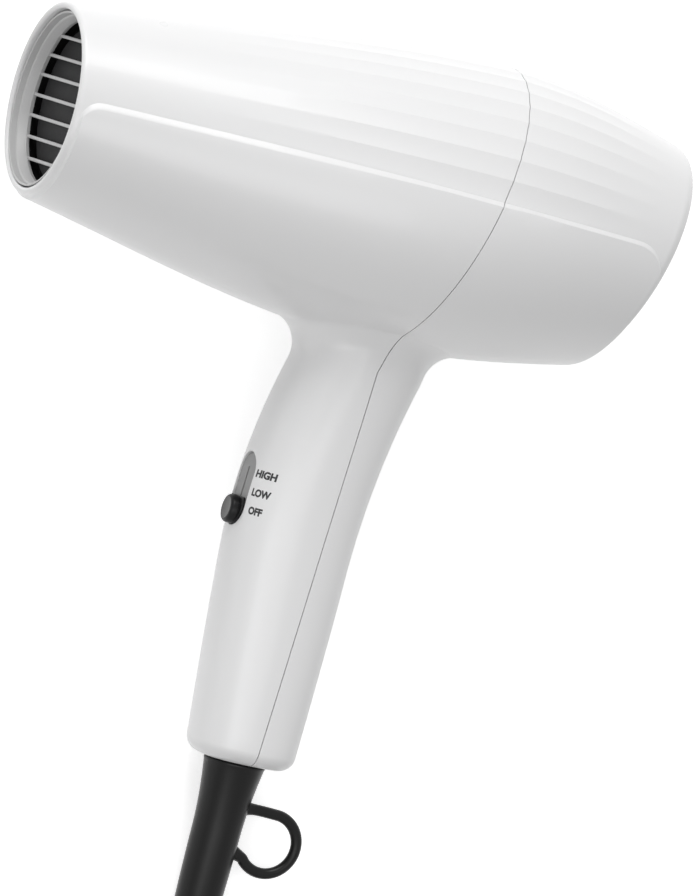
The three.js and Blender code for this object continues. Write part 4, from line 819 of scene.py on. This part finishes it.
class DRYER_OT_stage(bpy.types.Operator):
    """Sets up the camera, the pale floor, the world and the lamps"""

    bl_idname = "dryer.stage"
    bl_label = "Stage"

    def execute(self, context):
        place = to_row([-1097.91649886, -2959.15650795, 73.80097355])
        right = LAY @ [0.90315794, -0.35897204, 0.23546722]
        up = LAY @ [-0.20027995, 0.13282899, 0.97069274]
        ahead = LAY @ [0.37972843, 0.92384822, -0.04807065]
        lens = bpy.data.cameras.new("Camera")
        lens.sensor_width = SENSOR
        lens.lens = LENS
        lens.clip_start = 0.1
        lens.clip_end = 30
        camera = bpy.data.objects.new("Camera", lens)
        context.scene.collection.objects.link(camera)
        turn = Matrix((right, up, -ahead)).transposed().to_4x4()
        camera.matrix_world = Matrix.Translation(Vector(place)) @ turn
        context.scene.camera = camera
        context.scene.view_settings.view_transform = "Standard"
        floor = primitive(bpy.ops.mesh.primitive_plane_add, "floor", size=5, location=(0, 0, 0))
        floor.data.materials.append(self.floor_finish())
        self.world(context.scene)
        self.lamp("key", (-0.25, 0.92, 0.62), 2.4, 1.5, 35)
        self.lamp("fill", (-0.75, -0.35, 0.9), 2.6, 1.8, 5)
        strip = self.lamp("strip", (-0.3, -0.06, 1.0), 0.5, 0.18, 0.55)
        strip.data.shape = "RECTANGLE"
        strip.data.size_y = STRIP_LENGTH
        strip.location += Vector(to_row(STRIP_OVER))
        return {"FINISHED"}

    def lamp(self, name, way, distance, size, watts):
        light = bpy.data.lights.new(name, "AREA")
        light.shape = "SQUARE"
        light.size = size
        light.energy = watts
        lamp = bpy.data.objects.new(name, light)
        bpy.context.scene.collection.objects.link(lamp)
        way = Vector(way).normalized()
        turn = (-way).to_track_quat("-Z", "Y").to_matrix().to_4x4()
        lamp.matrix_world = Matrix.Translation(way * distance) @ turn
        return lamp

    def seen_rays(self, nodes, links):
        """One for a ray from the camera, or one that a shiny or clear surface sends on, and nought for others."""
        rays = nodes.new("ShaderNodeLightPath")
        value = rays.outputs["Is Camera Ray"]
        for kind in ("Is Glossy Ray", "Is Transmission Ray"):
            either = nodes.new("ShaderNodeMath")
            either.operation = "MAXIMUM"
            links.new(value, either.inputs[0])
            links.new(rays.outputs[kind], either.inputs[1])
            value = either.outputs["Value"]
        return value

    def floor_finish(self):
        material = bpy.data.materials.new("pale floor")
        material.use_nodes = True
        nodes, links = material.node_tree.nodes, material.node_tree.links
        shader = nodes["Principled BSDF"]
        shader.inputs["Base Color"].default_value = FLOOR_COLOUR
        shader.inputs["Roughness"].default_value = 0.9
        shader.inputs["Specular IOR Level"].default_value = 0.1
        glow = nodes.new("ShaderNodeMath")
        glow.operation = "MULTIPLY"
        glow.inputs[1].default_value = FLOOR_GLOW
        shader.inputs["Emission Color"].default_value = (1, 1, 1, 1)
        links.new(self.seen_rays(nodes, links), glow.inputs[0])
        links.new(glow.outputs["Value"], shader.inputs["Emission Strength"])
        return material

    def world(self, scene):
        world = bpy.data.worlds.new("World")
        scene.world = world
        world.use_nodes = True
        nodes, links = world.node_tree.nodes, world.node_tree.links
        nodes.clear()
        ambient, white = nodes.new("ShaderNodeBackground"), nodes.new("ShaderNodeBackground")
        ambient.inputs["Color"].default_value = (1, 1, 1, 1)
        ambient.inputs["Strength"].default_value = AMBIENT
        white.inputs["Color"].default_value = (1, 1, 1, 1)
        pick, outlet = nodes.new("ShaderNodeMixShader"), nodes.new("ShaderNodeOutputWorld")
        links.new(self.seen_rays(nodes, links), pick.inputs["Fac"])
        links.new(ambient.outputs["Background"], pick.inputs[1])
        links.new(white.outputs["Background"], pick.inputs[2])
        links.new(pick.outputs["Shader"], outlet.inputs["Surface"])


class DRYER_OT_cord(bpy.types.Operator):
    """Builds the cord with its coil, tie and plug"""

    bl_idname = "dryer.cord"
    bl_label = "Cord, Tie and Plug"

    def execute(self, context):
        route, end = cord_route()
        route = route / 1000
        cord = tube("cord", route, CORD_DIAMETER / 2000)
        finished(cord, FINISHES["black_rubber"], "dryer", ["cord_lead", "cord_coil"])
        pieces = [
            finer("cord_tie", "tie", FINISHES["black_plastic"], "dryer", 0.0002),
            finer("plug_housing", "plug_back", FINISHES["black_plastic"], "dryer", 0.0012, 4),
            finer("plug_cover", "plug_front", FINISHES["black_plastic"], "dryer", 0.0008, 3),
            finer("test_button", "test_key_cap", FINISHES["grey_button"], "test_key"),
            finer("reset_button", "reset_key_cap", FINISHES["red_button"], "reset_key"),
            finer("plug_blade_line", "blade_line", FINISHES["brass"], "dryer", 0.0003),
            finer("plug_blade_neutral", "blade_neutral", FINISHES["brass"], "dryer", 0.0003),
            self.plug_sleeve(end + (0, -CLEARANCE, 0)),
        ]
        return {"FINISHED"}

    def plug_sleeve(self, place):
        """The plug's ribbed sleeve, turned round the cord's end."""
        outline = [(0.0, 2.6), (0.0, 3.7), (0.4, 4.0)]
        for i in range(5):
            along = 1.2 + i * 3.6
            swell = 4.0 + 1.9 * (along + 2) / 24
            outline += [(along, swell), (along + 0.3, swell + 0.25), (along + 2.0, swell + 0.4),
                        (along + 2.3, swell + 0.2), (along + 2.35, swell - 0.7), (along + 3.5, swell - 0.65)]
        outline += [(19.6, 5.7), (23.6, 6.3), (24.0, 6.1), (24.0, 2.6)]
        sleeve = turned("plug_sleeve", outline, 48)
        sleeve.data.transform(Matrix.Scale(0.001, 4) @ Matrix.Translation(Vector(place))
                              @ Matrix.Rotation(-math.pi / 2, 4, "Z"))
        return finished(sleeve, FINISHES["black_rubber"], "dryer", ["plug_relief"], 50)


class DRYER_OT_relief(bpy.types.Operator):
    """Builds the moulded strain relief with its hanging loop"""

    bl_idname = "dryer.relief"
    bl_label = "Strain Relief"

    def execute(self, context):
        pick = context.scene.dryer_cord
        outline = [(-5.0, 6.0), (-5.0, 9.4), (-2.7, 9.4), (-2.6, 7.5), (0.3, 7.5), (0.32, 8.7), (0.45, 9.1),
                   (0.75, 9.28)]
        for share in np.linspace(0.06, 1, 16):
            outline.append((22 * share, 7.3 + 2 * (1 - share) ** 1.8))
        for share in np.linspace(0.1, 1, 10):
            outline.append((22 + 20 * share, 7.3 - 0.4 * share**1.4))
        for share in np.linspace(0.12, 1, 8):
            outline.append((42 + 12 * share, 6.9 - 1.5 * share**1.2))
        outline += [(54.5, 5.15), (54.85, 4.8), (55.0, 4.4), (55.0, 2.0)]
        sleeve = moved(turned("strain_relief_body", outline, 72), Matrix.Rotation(math.pi / 2, 4, "Y"))
        out, down, radius = 17.0, 22.3, pick.loop_radius
        points = [(2.0, 0, -13.9), (5.3, 0, -13.5), (10.5, 0, -13.15)]
        for angle in np.linspace(90, -140, 34):
            points.append((out + radius * math.cos(angle * DEGREES), 0, -down + radius * math.sin(angle * DEGREES)))
        points += [(7.6, 0, -27.0), (5.0, 0, -26.4), (2.0, 0, -26.2)]
        route = smooth_route(points, 150)
        root = np.exp(-((route[:, 0] - 5.5) / 2.6) ** 2) * 0.85
        loop = tube("strain_relief_loop", route, np.minimum(pick.loop_wire + root, 2.5), 24, up=(0, 1, 0))
        relief = carve(sleeve, loop, "UNION")
        relief.name = relief.data.name = "moulded_relief"
        shear = Matrix.Identity(4)
        shear[0][2] = RELIEF_LEAN
        relief.data.transform(Matrix.Translation((RELIEF_CENTRE, 0, HANDLE_BOTTOM)) @ shear)
        laid(relief)
        finished(relief, FINISHES["black_rubber"], "dryer", ["strain_relief"], 50)
        return {"FINISHED"}


class DRYER_OT_housings(bpy.types.Operator):
    """Builds the fluted white housings and parts them along their joint"""

    bl_idname = "dryer.housings"
    bl_label = "Housings"

    def execute(self, context):
        pick = context.scene.dryer_housing
        shell = carve(barrel_body(pick), handle_body(pick), "UNION")
        carve(shell, barrel_hollow(WALL, pick.lip_round))
        carve(shell, handle_hollow(WALL))
        for height in SCREW_HEIGHTS:
            front = handle_point(height, math.pi)[0][0]
            rear = handle_point(height, 0)[0][0]
            seat = handle_seam_at(height) + PARTING_GAP / 2 + SCREW_GRIP
            carve(shell, rod("boss", front + WALL / 2, rear - WALL / 2, BOSS_RADIUS, (0, 0, height)), "UNION")
            carve(shell, rod("bore", handle_seam_at(height) - 9.3, seat + 1, 1.6, (0, 0, height)))
            carve(shell, rod("counterbore", seat, rear + 5, SCREW_HEAD + CLEARANCE, (0, 0, height)))
        carve(shell, rod("cord hole", HANDLE_BOTTOM - 5, HANDLE_BOTTOM + 5, RELIEF_NECK + CLEARANCE,
                         (RELIEF_CENTRE, 0, 0), along="Z"))
        carve(shell, moved(stadium("slot", SLOT_WIDTH, SLOT_LENGTH, -4, 6.2), switch_matrix()))
        face = face_matrix(pick)
        carve(shell, moved(rod("seat", -INTAKE_SEAT, 6, INTAKE_RADIUS + CLEARANCE, segments=96), face))
        carve(shell, moved(rod("mouth", -30, 6, INTAKE_RADIUS - INTAKE_LEDGE, segments=96), face))
        rear = shell.copy()
        rear.data = shell.data.copy()
        context.scene.collection.objects.link(rear)
        near = [*seam_line(-PARTING_GAP / 2), (-90, -260), (-90, 260)]
        far = [*seam_line(PARTING_GAP / 2), (330, -260), (330, 260)]
        carve(shell, prism("front half", near, -90, 90), "INTERSECT")
        carve(rear, prism("rear half", far, -90, 90), "INTERSECT")
        for obj, name, node in ((shell, "front_shell", "front_housing"), (rear, "rear_shell", "rear_housing")):
            if len(obj.data.polygons) < 5000:
                raise RuntimeError(f"{name} came out of its cuts with {len(obj.data.polygons)} faces")
            obj.name = obj.data.name = name
            laid(obj)
            finished(obj, FINISHES["white_shell"], "dryer", [node], 13)
        return {"FINISHED"}


class DRYER_OT_outlet(bpy.types.Operator):
    """Builds the grey outlet: its collar and level bars in a grey painted lighter against the nozzle's shade, and the
    dark mesh behind them, whose near-black stands for the shade deep inside
    """

    bl_idname = "dryer.outlet"
    bl_label = "Outlet"

    def execute(self, context):
        pick = context.scene.dryer_outlet
        collar = hoop("collar", [
            (1.15, 26.15), (1.15, 25.75), (1.3, 25.55), (3.1, 25.4), (3.25, 25.15), (3.5, 24.95),
            (5.7, pick.opening + 0.1), (5.95, pick.opening), (7.0, pick.opening + 0.2), (7.0, 26.15),
        ], 144)
        parts = [collar]
        for i in range(pick.bars):
            height = (i - (pick.bars - 1) / 2) * pick.bar_pitch
            reach = math.sqrt((pick.opening + 0.6) ** 2 - height**2)
            bar = block("bar", (1.3, 2 * reach, pick.bar_height), (pick.depth + 0.8, 0, height))
            parts.append(bevelled(bar, 0.3, 3))
        grille = parts[0]
        for part in parts[1:]:
            carve(grille, part, "UNION")
        grille.name = grille.data.name = "outlet_bars"
        tilt = Matrix.Rotation(math.atan2(RIM_DROP, RIM_DISTANCE), 4, "Y")
        laid(grille, tilt)
        # painted light: the collar and bars take the grey painted lighter, which offsets the shade inside the nozzle
        finished(grille, FINISHES["grey_painted_lighter"], "dryer", ["outlet_grille"], 30)
        self.mesh_disc(tilt)
        return {"FINISHED"}

    def mesh_disc(self, tilt):
        """The fine dark screen between the bars and the heater, its near-black standing for the shade deep in the
        nozzle, and a black ring round it that paints the shadow gap behind the bars.
        """
        disc = turned("outlet_screen", [(8.3, 0.01), (8.3, 22.3), (8.45, 22.6), (8.8, 22.7), (9.0, 22.5),
                                        (9.0, 0.01)], 96)
        laid(disc, tilt)
        # painted shade: the screen's near-black stands for the shade deep in the nozzle
        finished(disc, FINISHES["dark_screen_and_shade"], "dryer", (), 30)
        # painted shadow: a near-black ring for the gap behind the bars
        ring = hoop("painted_shadow_ring", [(7.1, 24.65), (7.1, 26.0), (9.7, 26.0), (9.7, 20.0), (9.1, 20.0), (9.1, 24.3)], 96)
        laid(ring, tilt)
        finished(ring, FINISHES["painted_shadow_black"], "dryer", (), 30)


class DRYER_OT_switch(bpy.types.Operator):
    """Builds the slide switch's insert and knob"""

    bl_idname = "dryer.switch"
    bl_label = "Slide Switch"

    def execute(self, context):
        pick = context.scene.dryer_switch
        travel = SLOT_LENGTH - SLOT_WIDTH
        rest = -travel / 2
        width, length = SLOT_WIDTH - 2 * CLEARANCE, SLOT_LENGTH - 2 * CLEARANCE
        plate = bevelled(stadium("switch_insert", width, length, *PLATE_DEPTHS), 0.3, 3, 50)
        carve(plate, block("slit", (6, SLIT_WIDTH, travel + 3), (2.6, 0, rest + travel / 2)))
        laid(plate, switch_matrix())
        finished(plate, FINISHES["grey_plastic"], "dryer", ["switch_bezel"], 35)
        base_radius = SLOT_WIDTH / 2 - CLEARANCE
        base = rod("slide_knob", 0, 0.7, base_radius, segments=64)
        self.tongue(rest, travel)
        keep = primitive(bpy.ops.mesh.primitive_cube_add, "keep", size=20, location=(0, 0, KNOB_TOP - 10))
        carve(base, keep, "INTERSECT")
        bevelled(base, 0.2, 2, 50)
        radius, reach = pick.knob_radius, pick.knob_reach
        cap = turned("cap", [(-reach, 0.01), (-reach, radius - 0.75), (-reach + 0.12, radius - 0.42),
                             (-reach + 0.5, radius - 0.1), (-reach + 0.9, radius), (0.5, radius), (0.5, 0.01)], 64)
        cap.data.transform(Matrix.Translation((0, 0, (KNOB_TOP - base_radius) / 2)))
        knob = carve(base, cap, "UNION")
        carve(knob, block("stem", (8.6, STEM_WIDTH, STEM_LENGTH), (4.6, 0, 0)), "UNION")
        knob.data.transform(Matrix.Translation((0, 0, rest)))
        laid(knob, switch_matrix())
        finished(knob, FINISHES["black_plastic"], "switch_slider", ["switch_knob"], 35)
        face = turned("knob_face", [(-reach - 0.01, 0.01), (-reach - 0.02, radius - 1.3), (-reach - 0.1, radius - 1.0),
                                    (-reach + 0.1, radius - 0.85), (-reach + 0.2, 0.01)], 48)
        face.data.transform(Matrix.Translation((0, 0, rest + (KNOB_TOP - base_radius) / 2)))
        laid(face, switch_matrix())
        finished(face, FINISHES["knob_face"], "switch_slider", (), 40)
        return {"FINISHED"}

    def tongue(self, rest, travel):
        """The thin strip behind the insert that slides with the knob and shows in its slit, painted in the lighter
        grey to offset the slit's shade.
        """
        strip = bevelled(block("switch_tongue", (0.4, 3.4, 2 * travel + 3.4), (TONGUE_DEPTH, 0, rest)), 0.1, 2)
        carve(strip, block("gap", (2, STEM_WIDTH + 0.04, STEM_LENGTH + 0.04), (TONGUE_DEPTH, 0, rest)))
        laid(strip, switch_matrix())
        # painted light: the lighter grey offsets the shade in the slit
        finished(strip, FINISHES["grey_painted_lighter"], "switch_slider", (), 35)


class DRYER_OT_words(bpy.types.Operator):
    """Prints the words beside the switch on the curved grip"""

    bl_idname = "dryer.words"
    bl_label = "Words"

    def execute(self, context):
        pick = context.scene.dryer_switch
        if not pick.show_words:
            return {"FINISHED"}
        for text, x, top, width in (("HIGH", 89.5, -91.5, 7.6), ("LOW", 89.3, -97.1, 6.7), ("OFF", 89.3, -102.5, 4.9)):
            self.word(text, x, top, width, pick.letter_height)
        return {"FINISHED"}

    def word(self, text, x, top, width, height):
        deselect()
        bpy.ops.object.text_add()
        obj = bpy.context.active_object
        obj.data.body = text
        obj.data.offset = 0.05
        obj.data.extrude = 0.05
        obj.data.resolution_u = 6
        bpy.ops.object.convert(target="MESH")
        obj = bpy.context.active_object
        only(obj)
        bpy.ops.object.mode_set(mode="EDIT")
        bpy.ops.mesh.select_all(action="SELECT")
        bpy.ops.mesh.remove_doubles(threshold=1e-5)
        bpy.ops.mesh.normals_make_consistent(inside=False)
        bpy.ops.object.mode_set(mode="OBJECT")
        corners = np.array([v.co for v in obj.data.vertices])
        low, high = corners.min(0), corners.max(0)
        grow = np.array([width / (high[0] - low[0]), height / (high[1] - low[1])])
        start = self.angle_at(x, top - height / 2)
        for vertex in obj.data.vertices:
            u = (vertex.co.x - low[0]) * grow[0]
            z = top - (high[1] - vertex.co.y) * grow[1]
            lift = 0.03 if vertex.co.z > 0 else -0.06
            vertex.co = Vector(self.on_skin(start, u, z, lift))
        obj.name = obj.data.name = "word_" + text.lower()
        laid(obj)
        finished(obj, FINISHES["ink"], "dryer", (), 30)

    def angle_at(self, x, z):
        """The angle on the near side of the grip's front where its skin crosses this x."""
        angles = np.linspace(math.pi, math.pi * 1.5, 400)
        along = [handle_point(z, a)[0][0] for a in angles]
        return float(np.interp(x, along, angles))

    def on_skin(self, start, distance, z, lift):
        """The point of the skin this far round from the start, lifted off it."""
        angles = start + np.linspace(0, 0.9, 60)
        points = np.array([handle_point(z, a)[0] for a in angles])
        run = np.concatenate([[0], np.cumsum(np.linalg.norm(np.diff(points, axis=0), axis=1))])
        angle = float(np.interp(distance, run, angles))
        point, normal = handle_point(z, angle)
        return point + normal * lift


class DRYER_OT_intake(bpy.types.Operator):
    """Builds the domed intake grille in the rear face"""

    bl_idname = "dryer.intake"
    bl_label = "Intake Grille"

    def execute(self, context):
        thickness, dome, rings, rib = 1.8, 2.4, 4, 1.3
        reach = INTAKE_RADIUS - INTAKE_LEDGE - 1

        def rise(r):
            return dome * (1 - (r / INTAKE_RADIUS) ** 2)

        grille = hoop("intake_cover", [(-thickness, reach), (0.0, reach), (0.0, INTAKE_RADIUS - 0.3),
                                       (-0.3, INTAKE_RADIUS), (-thickness, INTAKE_RADIUS)], 96)
        pitch = reach / (rings + 0.5)
        for i in range(1, rings + 1):
            r, h = i * pitch, rise(i * pitch)
            ring = hoop("ring", [(h - thickness, r - rib / 2), (h - 0.3, r - rib / 2), (h, r - rib / 2 + 0.3),
                                 (h, r + rib / 2 - 0.3), (h - 0.3, r + rib / 2), (h - thickness, r + rib / 2)], 96)
            carve(grille, ring, "UNION")
        h = rise(0)
        carve(grille, turned("cap", [(h - thickness, 0.01), (h - thickness, pitch / 2), (h - 0.3, pitch / 2),
                                     (h, pitch / 2 - 0.3), (h, 0.01)], 48), "UNION")
        steps = np.linspace(-1, 1, 25) * (INTAKE_RADIUS - INTAKE_LEDGE)
        arch = [(rise(r), r) for r in steps] + [(rise(r) - thickness, r) for r in steps[::-1]]
        for i in range(3):
            bar = bevelled(prism("rib", arch, -rib / 2, rib / 2), 0.25, 2, 60)
            carve(grille, moved(bar, Matrix.Rotation(math.pi * i / 3, 4, "X")), "UNION")
        face = face_matrix(context.scene.dryer_housing)
        laid(grille, face)
        finished(grille, FINISHES["white_shell"], "dryer", ["intake_grille"], 25)
        return {"FINISHED"}


class DRYER_OT_inside(bpy.types.Operator):
    """Gives the inner pieces that keep their solids their finishes"""

    bl_idname = "dryer.inside"
    bl_label = "Inner Pieces"

    def execute(self, context):
        for node, slot in CAD_SLOTS.items():
            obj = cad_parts[node]
            obj.data.materials.clear()
            obj.data.materials.append(FINISHES[slot])
        return {"FINISHED"}


class DRYER_PT_panel(bpy.types.Panel):
    """Lists the steps that build the dryer, with their settings"""

    bl_idname = "DRYER_PT_panel"
    bl_label = "Hair Dryer"
    bl_space_type = "VIEW_3D"
    bl_region_type = "UI"
    bl_category = "Hair Dryer"

    def draw(self, context):
        scene = context.scene
        for step in STEPS:
            self.layout.operator(step.bl_idname)
        for name, settings in PROPERTY_NAMES.items():
            box = self.layout.box()
            for key in settings.__annotations__:
                box.prop(getattr(scene, name), key)


STEPS = (DRYER_OT_stage, DRYER_OT_cord, DRYER_OT_relief, DRYER_OT_housings, DRYER_OT_outlet, DRYER_OT_switch,
         DRYER_OT_words, DRYER_OT_intake, DRYER_OT_inside)
PROPERTY_NAMES = dict(zip(("dryer_housing", "dryer_outlet", "dryer_switch", "dryer_cord", "dryer_finish"), SETTINGS))


def register():
    for item in (*SETTINGS, *STEPS, DRYER_PT_panel):
        bpy.utils.register_class(item)
    for name, settings in PROPERTY_NAMES.items():
        setattr(bpy.types.Scene, name, PointerProperty(type=settings))


def unregister():
    for name in PROPERTY_NAMES:
        delattr(bpy.types.Scene, name)
    for item in reversed((*SETTINGS, *STEPS, DRYER_PT_panel)):
        bpy.utils.unregister_class(item)


def main():
    """Builds every piece in order."""
    register()
    make_finishes()
    for step in STEPS:
        group, name = step.bl_idname.split(".")
        result = getattr(getattr(bpy.ops, group), name)()
        if result != {"FINISHED"}:
            raise RuntimeError(f"{step.bl_label} didn't finish")


if __name__ == "__main__":
    main()
